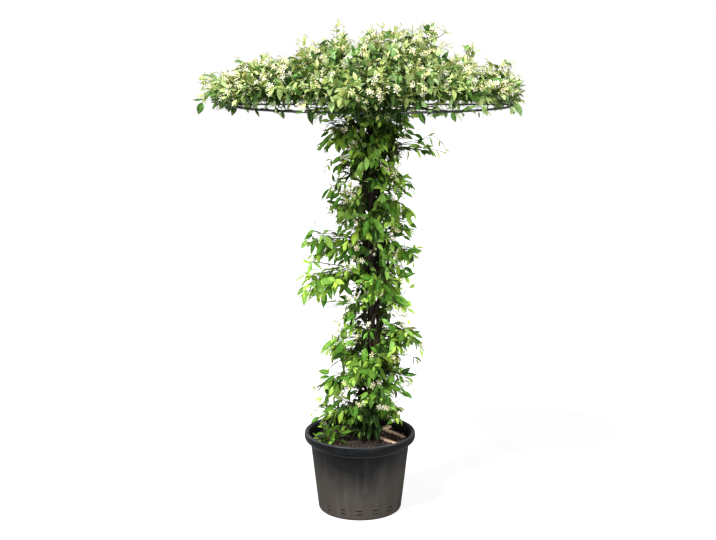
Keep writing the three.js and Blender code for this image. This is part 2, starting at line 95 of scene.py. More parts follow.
# Gaps among the leaves, as seen from the front: place along X, height and radius, in mm on the plane Y = 0
CLEARINGS = [
    (-115, 929, 17), (197, 673, 15), (153, 511, 15), (189, 501, 14), (-158, 1136, 13), (200, 884, 13),
    (-112, 645, 13), (-148, 1385, 12), (-102, 815, 12), (237, 724, 12), (-111, 673, 12), (-160, 1737, 9),
    (-117, 1638, 9), (187, 1547, 9), (-127, 1341, 9), (-88, 920, 9), (142, 875, 9), (-129, 659, 9),
    (-184, 539, 9), (237, 1750, 9), (-39, 1486, 9), (-127, 1279, 9), (217, 984, 9), (151, 911, 9),
    (-115, 902, 9), (-120, 806, 9), (206, 701, 9), (219, 668, 9), (-94, 659, 9), (220, 571, 9),
    (632, 1805, 12), (-400, 1792, 9), (-507, 1818, 9), (-516, 1805, 9), (564, 1801, 9), (345, 2097, 9),
    (358, 2084, 9), (281, 2109, 9), (500, 2000, 9), (-82, 1748, 8), (-62, 1712, 7), (198, 1306, 8),
    (186, 1222, 7), (205, 1180, 7), (-70, 1515, 6), (150, 1420, 6), (128, 908, 7), (118, 842, 6),
]


def in_clearing(points):
    """Which of the points stand in a gap, seen from the front at eye level."""
    seen = EYE + (points - EYE) * (-EYE[1] / (points[:, 1:2] - EYE[1]))
    hit = np.zeros(len(points), bool)
    for x, height, radius in metres(CLEARINGS):
        hit |= np.hypot(seen[:, 0] - x, seen[:, 2] - height) < radius + 0.005
    return hit


class Body:
    """Vertices, faces and per-point values of one piece, gathered before its mesh is made."""

    def __init__(self):
        self.verts, self.values = [], {key: [] for key in KEYS}
        self.faces, self.slots = {3: [], 4: []}, {3: [], 4: []}
        self.count = 0
        self.leaves, self.flowers, self.buds = [], [], []

    def add(self, verts, faces, slot, **values):
        verts = np.asarray(verts, float).reshape(-1, 3)
        for face in faces:
            face = np.asarray(face, int)
            if len(face):
                self.faces[face.shape[1]].append(face + self.count)
                self.slots[face.shape[1]].append(np.full(len(face), slot))
        self.verts.append(verts)
        for key in KEYS:
            self.values[key].append(np.broadcast_to(np.asarray(values.get(key, 0.0), float), len(verts)))
        self.count += len(verts)

    def make(self, name, materials):
        add_leaves(self)
        add_flowers(self)
        add_buds(self)
        corners, starts, slots, start = [], [], [], 0
        for size in (3, 4):
            if self.faces[size]:
                faces = np.concatenate(self.faces[size])
                corners.append(faces.ravel())
                starts.append(start + size * np.arange(len(faces)))
                slots.append(np.concatenate(self.slots[size]))
                start += faces.size
        mesh = bpy.data.meshes.new(name)
        verts = np.concatenate(self.verts)
        corners, starts, slots = (np.concatenate(a).astype(np.int32) for a in (corners, starts, slots))
        mesh.vertices.add(len(verts))
        mesh.vertices.foreach_set("co", verts.astype(np.float32).ravel())
        mesh.loops.add(len(corners))
        mesh.loops.foreach_set("vertex_index", corners)
        mesh.polygons.add(len(starts))
        mesh.polygons.foreach_set("loop_start", starts)
        mesh.polygons.foreach_set("material_index", slots)
        mesh.polygons.foreach_set("use_smooth", np.ones(len(starts), bool))
        for material in materials:
            mesh.materials.append(material)
        mesh.update(calc_edges=True)
        for key in KEYS:
            layer = mesh.attributes.new(key, "FLOAT", "POINT")
            layer.data.foreach_set("value", np.concatenate(self.values[key]).astype(np.float32))
        mesh.validate()
        piece = bpy.data.objects.new(name, mesh)
        bpy.context.scene.collection.objects.link(piece)
        return piece


def settle(piece, nodes=()):
    """The piece rides on the body and stands for some nodes of the frame, which it hides."""
    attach(piece, "root")
    if nodes:
        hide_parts(*nodes)
    return piece


# ---------------------------------------------------------------- leaves, flowers and twigs
# A leaf's cross-sections: their places along it as shares of its length, and half its width at each
STATIONS = np.array([0.0, 0.07, 0.18, 0.33, 0.50, 0.68, 0.86, 1.0])
HALVES = np.array([0.0, 0.035, 0.27, 0.44, 0.50, 0.40, 0.16, 0.0])


def around(row):
    """Each point of a closed row with the one after it."""
    return zip(row, np.roll(row, -1))


def band(low, high):
    """Faces between closed rows of points and the rows after them."""
    corners = [low, np.roll(low, -1, axis=-1), np.roll(high, -1, axis=-1), high]
    return np.stack(corners, axis=-1).reshape(-1, 4)


def leaf_template(across):
    """Stations, places across and faces of a leaf whose base and tip are single points."""
    places = np.linspace(-1, 1, across)
    inner = len(STATIONS) - 2
    along = np.concatenate([[0.0], np.repeat(STATIONS[1:-1], across), [1.0]])
    half = np.concatenate([[0.0], np.repeat(HALVES[1:-1], across), [0.0]])
    side = np.concatenate([[0.0], np.tile(places, inner), [0.0]])
    tip = 1 + inner * across
    tris, quads = [], []
    for j in range(across - 1):
        tris.append((0, 1 + j, 2 + j))
        tris.append((tip, tip - across + j + 1, tip - across + j))
        for i in range(inner - 1):
            a = 1 + i * across + j
            quads.append((a, a + across, a + across + 1, a + 1))
    return along, half, side, np.array(tris), np.array(quads)


def placed(origin, *moves):
    """The points that lie some way along several directions from an origin, for every row at once."""
    points = origin[:, None, :]
    for size, way in moves:
        points = points + size[..., None] * way[:, None, :]
    return points


def add_copies(body, points, tris, quads, slot, **values):
    """The same faces once for each row of points. The values are given by row, by point or by both."""
    offsets = (points.shape[1] * np.arange(len(points)))[:, None, None]
    faces = [(some[None] + offsets).reshape(-1, some.shape[1]) for some in (tris, quads)]
    values = {key: np.broadcast_to(value, points.shape[:2]).ravel() for key, value in values.items()}
    body.add(points, faces, slot, **values)


def axes_along(root, tip):
    """The length from root to tip, its direction and two directions across it, for every row at once."""
    axis = tip - root
    length = np.linalg.norm(axis, axis=1, keepdims=True)
    axis = axis / length
    helper = np.where(np.abs(axis[:, 2:3]) > 0.9, np.array([[1.0, 0, 0]]), UP[None])
    aside = unit(np.cross(axis, helper))
    return length, axis, aside, np.cross(axis, aside)


def add_leaves(body):
    """Every leaf at once: each bends down along its rib, folds up along it and waves at its edge."""
    if not body.leaves:
        return
    rows = np.array(body.leaves)
    for share in (0.35, 0.65, 0.9):
        rows = rows[~in_clearing(rows[:, 0:3] + share * rows[:, 9:10] * unit(rows[:, 3:6]))]
    for across in (3, 5):
        some = rows[rows[:, 16] == across]
        if not len(some):
            continue
        along, half, side, tris, quads = leaf_template(across)
        base, run, face = some[:, 0:3], unit(some[:, 3:6]), some[:, 6:9]
        face = unit(face - run * np.sum(face * run, axis=1, keepdims=True))
        length, width, curl, fold, wave, tone, youth = (some[:, i : i + 1] for i in range(9, 16))
        turned = curl * along
        forward = length * np.sin(turned) / curl
        sunk = -length * (1 - np.cos(turned)) / curl
        reach = half * side * width
        lift = np.abs(reach) * fold + wave * length * side * np.sin(7.5 * along + 9 * tone) * half
        lift -= 0.35 * np.abs(side) ** 2.5 * half * width * fold
        x = forward + lift * np.sin(turned)
        z = sunk + lift * np.cos(turned)
        points = placed(base, (x, run), (reach, np.cross(face, run)), (z, face))
        add_copies(body, points, tris, quads, LEAF, tone=tone, youth=youth, along=along, across=side)


def flower_template():
    """Five skewed petals of radius 1 round a throat, and the tube that narrows to the root at -1."""
    points, along, tris, quads = [], [], [], []
    petal = [(0.16, -18, 0, 0), (0.16, 18, 0, 0), (0.6, -9, 0.05, 0.5), (0.6, 13, 0.12, 0.5)]
    petal += [(0.98, -6, -0.04, 1), (1.10, 13, 0.10, 1), (0.84, 24, 0.2, 0.8)]
    for number in range(5):
        first = len(points)
        for radius, degrees, height, share in petal:
            angle = math.radians(degrees + 72 * number)
            points.append((radius * math.cos(angle), radius * math.sin(angle), height))
            along.append(share)
        quads += [(first, first + 2, first + 3, first + 1), (first + 2, first + 4, first + 5, first + 3)]
        tris.append((first + 3, first + 5, first + 6))
    first = len(points)
    for height, radius, share in ((0.0, 0.2, 0.0), (-0.3, 0.1, -0.4), (-0.62, 0.075, -0.8)):
        for number in range(5):
            angle = math.radians(36 + 72 * number)
            points.append((radius * math.cos(angle), radius * math.sin(angle), height))
            along.append(share)
    points.append((0, 0, -1))
    along.append(-1.0)
    for number in range(5):
        other = (number + 1) % 5
        for ring in (0, 5):
            a, b = first + ring + number, first + ring + other
            quads.append((a, a + 5, b + 5, b))
        tris.append((first + 10 + number, first + 15, first + 10 + other))
    return np.array(points), np.array(along), np.array(tris), np.array(quads)


def add_flowers(body):
    if not body.flowers:
        return
    rows = np.array(body.flowers)
    shape, along, tris, quads = flower_template()
    root, mouth, radius, spin = rows[:, 0:3], rows[:, 3:6], rows[:, 6:7], rows[:, 7:8]
    length, axis, u, v = axes_along(root, mouth)
    x = shape[:, 0] * np.cos(spin) - shape[:, 1] * np.sin(spin)
    y = shape[:, 0] * np.sin(spin) + shape[:, 1] * np.cos(spin)
    z = np.where(along < 0, shape[:, 2] * length, shape[:, 2] * radius)
    points = placed(mouth, (x * radius, u), (y * radius, v), (z, axis))
    add_copies(body, points, tris, quads, PETAL, tone=rows[:, 8:9], along=along)


def add_buds(body):
    """Pointed closed buds on thin stalks."""
    if not body.buds:
        return
    rows = np.array(body.buds)
    points, along = [], []
    for share, radius in ((0.0, 0.12), (0.45, 0.16), (0.62, 1.0), (0.85, 0.7)):
        for number in range(4):
            angle = math.pi / 2 * number + share
            points.append((radius * math.cos(angle), radius * math.sin(angle), share))
            along.append(0.9 * share - 0.5)
    shape, along = np.array([*points, (0, 0, 1.0)]), np.array([*along, 0.6])
    index = np.arange(16).reshape(4, 4)
    quads, tris = band(index[:-1], index[1:]), np.array([(a, b, 16) for a, b in around(index[-1])])
    root, tip, radius = rows[:, 0:3], rows[:, 3:6], rows[:, 6:7]
    length, axis, u, v = axes_along(root, tip)
    points = placed(root, (shape[:, 0] * radius, u), (shape[:, 1] * radius, v), (shape[:, 2] * length, axis))
    add_copies(body, points, tris, quads, PETAL, tone=rows[:, 7:8], along=along)


def tube(body, path, radii, sides, slot=TWIG, tone=0.5, rough=0.0, rng=None):
    """A closed round tube along a path. rough makes its skin uneven."""
    path = np.asarray(path, float)
    run = unit(np.gradient(path, axis=0))
    normal = unit(np.cross(run[0], UP if abs(run[0][2]) < 0.9 else np.array([1.0, 0, 0])))
    angles = 2 * math.pi * np.arange(sides) / sides
    rings = []
    for point, tangent, radius in zip(path, run, radii):
        normal = unit(normal - tangent * np.dot(normal, tangent))
        other = np.cross(tangent, normal)
        size = radius * (1 + rough * (rng.random(sides) - 0.5)) if rough else np.full(sides, radius)
        skin = np.outer(np.cos(angles), normal) + np.outer(np.sin(angles), other)
        rings.append(point + size[:, None] * skin)
    ends = [path[:1] - run[:1] * radii[0] * 0.3, path[-1:] + run[-1:] * radii[-1] * 0.6]
    points = np.concatenate([*rings, *ends])
    index = np.arange(len(path) * sides).reshape(len(path), sides)
    tris = [(index.size, b, a) for a, b in around(index[0])]
    tris += [(index.size + 1, a, b) for a, b in around(index[-1])]
    share = np.concatenate([np.repeat(np.linspace(0, 1, len(path)), sides), [0, 1]])
    body.add(points, [tris, band(index[:-1], index[1:])], slot, tone=tone, along=share, across=0.5)


def stalk(body, path, radius=0.0014):
    """A thin bare stalk that holds one leaf or flower."""
    tube(body, path, np.full(len(path), radius), 4, tone=0.4)


def bezier(a, b, c, steps):
    t = np.linspace(0, 1, steps)[:, None]
    return (1 - t) ** 2 * a + 2 * t * (1 - t) * b + t**2 * c


def bow(a, b, steps, lift=0.0, sway=0.0):
    """A curve from a to b whose middle is pulled up by the lift and along the vector sway."""
    return bezier(a, 0.5 * (a + b) + UP * lift + sway, b, steps)


def point_at(path, share):
    """The point and direction at a share of a path's length."""
    steps = np.linalg.norm(np.diff(path, axis=0), axis=1)
    walked = np.concatenate([[0], np.cumsum(steps)])
    want = share * walked[-1]
    i = min(np.searchsorted(walked, want, side="right") - 1, len(steps) - 1)
    f = (want - walked[i]) / (steps[i] + 1e-12)
    return path[i] + f * (path[i + 1] - path[i]), unit(path[i + 1] - path[i])


def add_leaf(body, rng, base, run, face, length, youth, tone, across=3, curl=None, width=0.42, folded=0.2,
             kept=False):
    """Notes one leaf. Leaves low down are darker, painted shade at the column's foot; in the column, leaves
    by the stake are darker and those in its flanks lighter, painted shade and light. The column's flank
    leaves are thinned out unless kept.
    """
    if curl is None:
        curl = 0.2 + 0.8 * rng.random()
    # Painted shade and light: tone and youth fall towards the column's foot and its core by the stake, and
    # rise in its flanks
    painted_light_factor = float(np.interp(base[2], [0.42, 0.80], [0.62, 1.0]))
    beside = abs(base[0] - STAKE_X)
    in_column = base[2] < COLUMN_TOP
    if in_column:
        painted_light_factor *= float(np.interp(beside, [0.03, 0.13], [0.88, 1.08]))
    slim = width * (0.84 + 0.3 * rng.random())
    fold = folded + 0.4 * rng.random()
    wave = 0.05 * rng.random()
    if in_column and beside > 0.05 and wave < 0.007 and not kept:
        return
    looks = [length, slim * length, curl, fold, wave, tone * painted_light_factor, youth * painted_light_factor, across]
    body.leaves.append([*base, *run, *face, *looks])


def cluster(body, rng, base, run, count, buds=3, radius=0.0112):
    """A loose head of star flowers and buds on thin tubes from one point."""
    for number in range(count + buds):
        axis = unit(run + rng.normal(size=3) * 0.8 + 0.3 * UP)
        reach = 0.018 + 0.024 * rng.random()
        if number < count:
            size = radius * (0.8 + 0.36 * rng.random())
            body.flowers.append([*base, *(base + axis * reach), size, 6.3 * rng.random(), rng.random()])
        else:
            body.buds.append([*base, *(base + axis * (0.014 + 0.012 * rng.random())), 0.0021, rng.random()])


def grow(body, rng, path, pairs, leaf, start=0.12, radius=0.0016, youth=0.15, droop=0.35, bloom=0, across=3,
         tone=(0.2, 0.9), face=(0, 0, 0), floor=-1.0, width=0.42):
    """A twig with opposite leaf pairs, each turned across the last, young tip leaves and maybe flowers."""
    path = np.asarray(path, float)
    radii = radius * np.linspace(1.0, 0.7, len(path))
    tube(body, path, radii, 4 if radius < 0.0022 else 5, tone=0.35 + 0.5 * youth)
    turn = 6.3 * rng.random()
    for pair in range(pairs):
        share = start + (1 - start) * (pair + 0.15) / pairs
        point, run = point_at(path, min(share, 0.99))
        u = unit(np.cross(run, UP + 0.05)) if abs(run[2]) < 0.95 else np.array([1.0, 0, 0])
        v = np.cross(run, u)
        turn += math.pi / 2 + rng.normal() * 0.25
        for hand in (0, math.pi):
            if rng.random() < 0.06:
                continue
            out = u * math.cos(turn + hand) + v * math.sin(turn + hand)
            lean = 1.05 * (1 - 0.35 * share) + 0.2 * rng.normal()
            along = run * math.cos(lean) + out * math.sin(lean)
            along[2] -= droop * (0.3 + rng.random()) * (1.15 - share)
            along = unit(along)
            size = leaf * (0.70 + 0.42 * rng.random()) * (1 - 0.38 * share**3)
            along[2] = max(along[2], (floor - point[2]) / size)
            upper = 0.35 * run + UP + 0.35 * rng.normal(size=3) + np.asarray(face)
            fresh = youth * (0.4 + 1.2 * rng.random()) + 0.55 * max(0, share - 0.72) / 0.28 * (0.4 + youth)
            shade = tone[0] + (tone[1] - tone[0]) * rng.random()
            add_leaf(body, rng, point, along, upper, size, min(1.0, fresh), shade, across, width=width)
    point, run = point_at(path, 0.985)
    for _ in range(2):
        along = unit(run + 0.45 * rng.normal(size=3))
        fresh = min(1.0, 0.2 + 0.8 * youth + 0.3 * rng.random())
        face, size = UP + 0.4 * rng.normal(size=3), leaf * (0.36 + 0.25 * rng.random())
        add_leaf(body, rng, point, along, face, size, fresh, tone[1], across, 0.3, width)
    if bloom:
        cluster(body, rng, point, run, bloom, buds=int(rng.integers(1, 5)))


# ---------------------------------------------------------------- materials
WHITE, BLACK = (1, 1, 1), (0, 0, 0)


def new_material(name):
    """A material and its node tree."""
    material = bpy.data.materials.new(name)
    material.use_nodes = True
    return material, material.node_tree


def add_node(tree, kind, **values):
    """A node with some inputs and settings. A socket given for an input is linked to it."""
    node = tree.nodes.new(kind)
    for key, value in values.items():
        if key in node.inputs.keys():
            feed(node.inputs[key], value)
        else:
            setattr(node, key, value)
    return node


def feed(socket, value):
    """Links a socket to another one, or sets it to a number or a colour."""
    if isinstance(value, bpy.types.NodeSocket):
        socket.id_data.links.new(value, socket)
    elif value is not None:
        is_colour = isinstance(value, tuple) and len(socket.default_value) == 4
        socket.default_value = (*value, 1) if is_colour else value


def tree_of(*values):
    """The node tree of the first socket among some values."""
    return next(value.id_data for value in values if isinstance(value, bpy.types.NodeSocket))


def ramp(source, stops):
    node = add_node(tree_of(source), "ShaderNodeValToRGB", Fac=source)
    while len(node.color_ramp.elements) < len(stops):
        node.color_ramp.elements.new(0.5)
    for element, (place, colour) in zip(node.color_ramp.elements, stops):
        element.position = place
        element.color = (*colour, 1)
    return node.outputs["Color"]


def mix(factor, a, b, mode="MIX"):
    node = add_node(tree_of(factor, a, b), "ShaderNodeMix", data_type="RGBA", blend_type=mode)
    for index, value in ((0, factor), (6, a), (7, b)):
        feed(node.inputs[index], value)
    return node.outputs[2]


def maths(operation, a, b=None, clamp=False):
    node = add_node(tree_of(a, b), "ShaderNodeMath", operation=operation, use_clamp=clamp)
    feed(node.inputs[0], a)
    feed(node.inputs[1], b)
    return node.outputs[0]


def plus(a, b, clamp=False):
    return maths("ADD", a, b, clamp)


def minus(a, b, clamp=False):
    return maths("SUBTRACT", a, b, clamp)


def times(a, b, clamp=False):
    return maths("MULTIPLY", a, b, clamp)


def blend_shaders(tree, factor, first, second, output="Material Output"):
    """Sends a blend of two shaders to the output."""
    blend = tree.nodes.new("ShaderNodeMixShader")
    for index, value in enumerate((factor, first.outputs[0], second.outputs[0])):
        feed(blend.inputs[index], value)
    tree.links.new(blend.outputs[0], tree.nodes[output].inputs["Surface"])


def camera_ray(tree):
    return tree.nodes.new("ShaderNodeLightPath").outputs["Is Camera Ray"]


def value_of(tree, name):
    """One of the values that the points carry."""
    return add_node(tree, "ShaderNodeAttribute", attribute_name=name).outputs["Fac"]


def noise(tree, scale, detail=3.0, rough=0.55, stretch=None):
    place = tree.nodes.new("ShaderNodeTexCoord").outputs["Object"]
    if stretch:
        place = add_node(tree, "ShaderNodeMapping", Scale=stretch, Vector=place).outputs["Vector"]
    texture = add_node(tree, "ShaderNodeTexNoise", Scale=scale, Detail=detail, Roughness=rough, Vector=place)
    return texture.outputs["Fac"]


def coat(material, colour, rough, specular=None, relief=None):
    """Gives the shader its colour, roughness, specular level and relief (height, strength and depth)."""
    tree = material.node_tree
    shader = tree.nodes["Principled BSDF"]
    for name, value in (("Base Color", colour), ("Roughness", rough), ("Specular IOR Level", specular)):
        feed(shader.inputs[name], value)
    if relief:
        height, strength, distance = relief
        bump = add_node(tree, "ShaderNodeBump", Height=height, Strength=strength, Distance=distance)
        tree.links.new(bump.outputs["Normal"], shader.inputs["Normal"])
    return material


def leaf_material(name, dark, middle, bright, young, bronze):
    """A waxy leaf: colour by its tone, which also carries painted shade, and its youth, a pale rib, faint
    side veins and light from behind.
    """
    material, tree = new_material(name)
    tone, youth, along, across = (value_of(tree, key) for key in KEYS)
    mottle = noise(tree, 55.0, 2.0)
    mixed = plus(times(mottle, 0.35), minus(tone, 0.17))
    old = ramp(mixed, [(0.20, dark), (0.52, middle), (0.80, bright)])
    fresh = ramp(youth, [(0.0, middle), (0.45, young), (0.8, young), (1.0, bronze)])
    colour = mix(times(youth, 1.15, clamp=True), old, fresh)
    off_rib = maths("ABSOLUTE", across)
    rib = minus(1.0, times(off_rib, 7.0, clamp=True), clamp=True)
    slanted = minus(times(along, 46.0), times(off_rib, 8.0))
    vein = maths("POWER", maths("ABSOLUTE", maths("COSINE", slanted)), 12.0)
    lines = maths("MAXIMUM", rib, times(vein, 0.35))
    colour = mix(times(lines, 0.4), colour, mix(0.5, colour, (0.62, 0.72, 0.36)))
    gloss = ramp(noise(tree, 24.0, 2.0), [(0.3, (0.20,) * 3), (0.75, (0.38,) * 3)])
    coat(material, colour, gloss, 0.30, (lines, 0.35, 0.0006))
    shader = tree.nodes["Principled BSDF"]
    shader.inputs["Specular Tint"].default_value = (0.42, 1.0, 0.20, 1)
    through = mix(1.0, colour, (1.9, 1.75, 0.7), "MULTIPLY")
    blend_shaders(tree, 0.2, shader, add_node(tree, "ShaderNodeBsdfTranslucent", Color=through))
    return material


def petal_material():
    """Cream, yellower with tone, with a golden throat over a green tube."""
    material, tree = new_material("petal")
    cream = [(0.0, (0.80, 0.80, 0.74)), (0.55, (0.80, 0.78, 0.60)), (1.0, (0.80, 0.73, 0.40))]
    cream = ramp(value_of(tree, "tone"), cream)
    place = plus(times(value_of(tree, "along"), 0.5), 0.5)
    throat = [(0.0, (0.20, 0.30, 0.08)), (0.3, (0.55, 0.62, 0.25)), (0.5, (0.85, 0.72, 0.20))]
    colour = mix(1.0, cream, ramp(place, [*throat, (0.6, WHITE), (1.0, WHITE)]), "MULTIPLY")
    fleck = ramp(noise(tree, 260.0, 2.0), [(0.35, (0.88, 0.88, 0.82)), (0.65, WHITE)])
    return coat(material, mix(1.0, colour, fleck, "MULTIPLY"), 0.6)


def bark_material(name, dark, light, scale=1.0):
    material, tree = new_material(name)
    streaks = noise(tree, 60.0 * scale, 5.0, 0.6, (1.0, 1.0, 0.12))
    base = ramp(streaks, [(0.3, dark), (0.7, light)])
    colour = mix(0.5, base, mix(noise(tree, 18.0 * scale, 3.0), base, light))
    return coat(material, colour, 0.85, 0.12, (streaks, 0.7, 0.002))


def twig_material():
    """Green near the tips, brown and woody further down."""
    material, tree = new_material("twig")
    grain = noise(tree, 240.0, 3.0)
    age = plus(value_of(tree, "tone"), times(value_of(tree, "along"), 0.35))
    wood, green, fresh = (0.030, 0.022, 0.010), (0.055, 0.075, 0.014), (0.16, 0.25, 0.04)
    colour = ramp(age, [(0.3, wood), (0.75, green), (1.0, fresh)])
    colour = mix(grain, colour, mix(0.45, colour, (0.03, 0.02, 0.012)))
    return coat(material, colour, 0.7, 0.2, (grain, 0.4, 0.0008))


def pot_material():
    """Black plastic: bluish and cleaner at the rim and darkest just under the lip, a painted shade, with dry
    dust, runs and splashes lower down, painted light on its sides and painted highlight lines at the rim and
    the lip's foot.
    """
    material, tree = new_material("pot_plastic")
    place = tree.nodes.new("ShaderNodeTexCoord").outputs["Object"]
    parts = add_node(tree, "ShaderNodeSeparateXYZ", Vector=place).outputs
    height = maths("DIVIDE", parts["Z"], POT_HEIGHT)
    clouds = noise(tree, 7.0, 4.0, 0.6)
    streaks = noise(tree, 34.0, 3.0, 0.5, (1.0, 1.0, 0.05))
    wobble = times(minus(clouds, 0.5), 0.5)
    # The dusty colours reach higher towards the pot's sides, most on its right (+X): real dust lower down,
    # painted light on the sides
    painted_side_light = plus(times(maths("ABSOLUTE", parts["X"]), 0.9), times(parts["X"], 0.2))
    level = plus(minus(height, painted_side_light), wobble)
    dust_and_side_light = [(0.0, (0.044, 0.037, 0.031)), (0.26, (0.042, 0.036, 0.031)), (0.46, (0.022, 0.020, 0.018))]
    # The clean plastic is darkest just under the lip, a painted shade, and a little lighter and bluer at the
    # rim
    clean_with_lip_shade = [(0.64, (0.0065,) * 3), (0.82, (0.003, 0.0036, 0.0042)), (1.0, (0.0035, 0.0048, 0.007))]
    base = ramp(level, dust_and_side_light + clean_with_lip_shade)
    runs = ramp(streaks, [(0.50, BLACK), (0.80, WHITE)])
    low = minus(1.0, times(height, 1.05), clamp=True)
    colour = mix(times(runs, plus(times(low, 0.18), 0.05)), base, (0.11, 0.105, 0.095))
    specks = ramp(noise(tree, 170.0, 2.0), [(0.62, BLACK), (0.75, WHITE)])
    colour = mix(times(specks, 0.16), colour, (0.12, 0.105, 0.09))
    # Painted highlights: lighter lines at the foot of the lip and along the rim
    edges = [(0.845, BLACK), (0.853, WHITE), (0.863, BLACK), (0.984, BLACK), (0.994, WHITE)]
    worn = times(ramp(height, edges), plus(times(clouds, 0.9), -0.15, clamp=True))
    colour = mix(worn, colour, (0.12, 0.12, 0.125))
    rough = ramp(level, [(0.3, (0.70,) * 3), (1.0, (0.34,) * 3)])
    relief = plus(noise(tree, 420.0, 2.0), times(streaks, 0.8))
    return coat(material, colour, rough, 0.10, (relief, 0.12, 0.001))


def soil_material():
    material, tree = new_material("potting_mix")
    crumbs = noise(tree, 130.0, 5.0, 0.65)
    dark, brown, dry = (0.004, 0.003, 0.002), (0.013, 0.007, 0.005), (0.045, 0.020, 0.012)
    colour = ramp(crumbs, [(0.3, dark), (0.55, brown), (0.8, dry)])
    colour = mix(noise(tree, 16.0, 3.0), colour, mix(0.5, colour, (0.03, 0.014, 0.009)))
    return coat(material, colour, 0.9, relief=(crumbs, 0.9, 0.004))


def chip_material():
    material, tree = new_material("bark_chips")
    grain = noise(tree, 190.0, 4.0, 0.6)
    dark, brown, pale = (0.010, 0.005, 0.004), (0.034, 0.014, 0.009), (0.13, 0.06, 0.034)
    colour = ramp(value_of(tree, "tone"), [(0.0, dark), (0.65, brown), (1.0, pale)])
    colour = mix(times(grain, 0.6), colour, (0.012, 0.007, 0.005))
    return coat(material, colour, 0.85, relief=(grain, 0.6, 0.0015))


def wood_material(name, stained):
    material, tree = new_material(name)
    grain = noise(tree, 70.0, 4.0, 0.6, (1.0, 1.0, 3.0))
    dark, middle, pale = (0.60, 0.38, 0.24), (0.80, 0.56, 0.40), (0.90, 0.70, 0.54)
    colour = ramp(grain, [(0.3, dark), (0.55, middle), (0.75, pale)])
    stain = times(noise(tree, 12.0, 3.0), stained)
    return coat(material, mix(stain, colour, (0.24, 0.19, 0.09)), 0.75, relief=(grain, 0.3, 0.001))


def rod_material():
    material, tree = new_material("coated_rod")
    worn = noise(tree, 30.0, 3.0)
    colour = ramp(worn, [(0.4, (0.008, 0.009, 0.010)), (0.8, (0.022, 0.021, 0.022))])
    rough = ramp(worn, [(0.3, (0.35,) * 3), (0.8, (0.55,) * 3)])
    return coat(material, colour, rough, relief=(noise(tree, 300.0, 2.0), 0.1, 0.0005))


def floor_material():
    """Pale paper that glows for the camera and throws a softer light back on the plant."""
    material, tree = new_material("studio_floor")
    paper = ramp(noise(tree, 0.8, 2.0), [(0.3, (0.36,) * 3), (0.7, (0.38,) * 3)])
    seen, bounce = tree.nodes["Principled BSDF"], tree.nodes.new("ShaderNodeBsdfPrincipled")
    for shader, glow in ((seen, 0.80), (bounce, 0.12)):
        looks = {"Base Color": paper, "Emission Color": WHITE, "Emission Strength": glow, "Roughness": 0.8,
                 "Specular IOR Level": 0.1}
        for name, value in looks.items():
            feed(shader.inputs[name], value)
    blend_shaders(tree, camera_ray(tree), bounce, seen)
    return material


# The head's bright tone is a pale whitish green: mint-pale leaves and painted sheen
head_leaf = leaf_material("head_leaf", (0.002, 0.022, 0.001), (0.074, 0.198, 0.030), (0.50, 0.68, 0.36),
                          (0.64, 0.71, 0.28), (0.76, 0.70, 0.42))
column_leaf = leaf_material("column_leaf", (0.001, 0.014, 0.0005), (0.036, 0.145, 0.006), (0.31, 0.53, 0.12),
                            (0.44, 0.66, 0.07), (0.60, 0.62, 0.20))
petal, twig = petal_material(), twig_material()
bark = bark_material("stem_bark", (0.006, 0.004, 0.003), (0.034, 0.021, 0.014))
stake_wood = bark_material("stake_wood", (0.005, 0.004, 0.003), (0.020, 0.015, 0.012), 0.6)
HEAD_LOOK, COLUMN_LOOK = (head_leaf, twig, petal), (column_leaf, twig, petal)


# ---------------------------------------------------------------- pot, soil and laths
def lathe(body, profile, sides):
    """Turns a profile of (radius, height) round Z. A radius of 0 closes the end."""
    angles = 2 * math.pi * np.arange(sides) / sides
    rings, rows, tris, quads = [], [], [], []
    for radius, height in profile:
        first = sum(len(ring) for ring in rings)
        if radius == 0:
            rings.append(np.array([[0, 0, height]]))
            rows.append([first] * sides)
        else:
            x, y = radius * np.cos(angles), radius * np.sin(angles)
            rings.append(np.stack([x, y, np.full(sides, height)], axis=1))
            rows.append(list(range(first, first + sides)))
    for low, high in zip(rows, rows[1:]):
        for i in range(sides):
            j = (i + 1) % sides
            if low[i] == low[j]:
                tris.append((low[i], high[j], high[i]))
            elif high[i] == high[j]:
                tris.append((low[i], low[j], high[i]))
            else:
                quads.append((low[i], low[j], high[j], high[i]))
    body.add(np.concatenate(rings), [tris, quads], 0)


def outer_radius(height):
    """Outer radius of the pot's tapered wall, between its base and its lip."""
    return BASE_RADIUS + (SHOULDER_RADIUS - BASE_RADIUS) * height / LIP_FOOT


def cut_out(piece, tool):
    """Takes the tool's solid out of the piece's mesh, and deletes the tool."""
    modifier = piece.modifiers.new("cut", "BOOLEAN")
    modifier.object, modifier.operation, modifier.solver = tool, "DIFFERENCE", "EXACT"
    done = bpy.data.meshes.new_from_object(piece.evaluated_get(bpy.context.evaluated_depsgraph_get()))
    piece.modifiers.clear()
    old, piece.data = piece.data, done
    done.name = piece.name
    bpy.data.meshes.remove(old)
    bpy.data.objects.remove(tool)


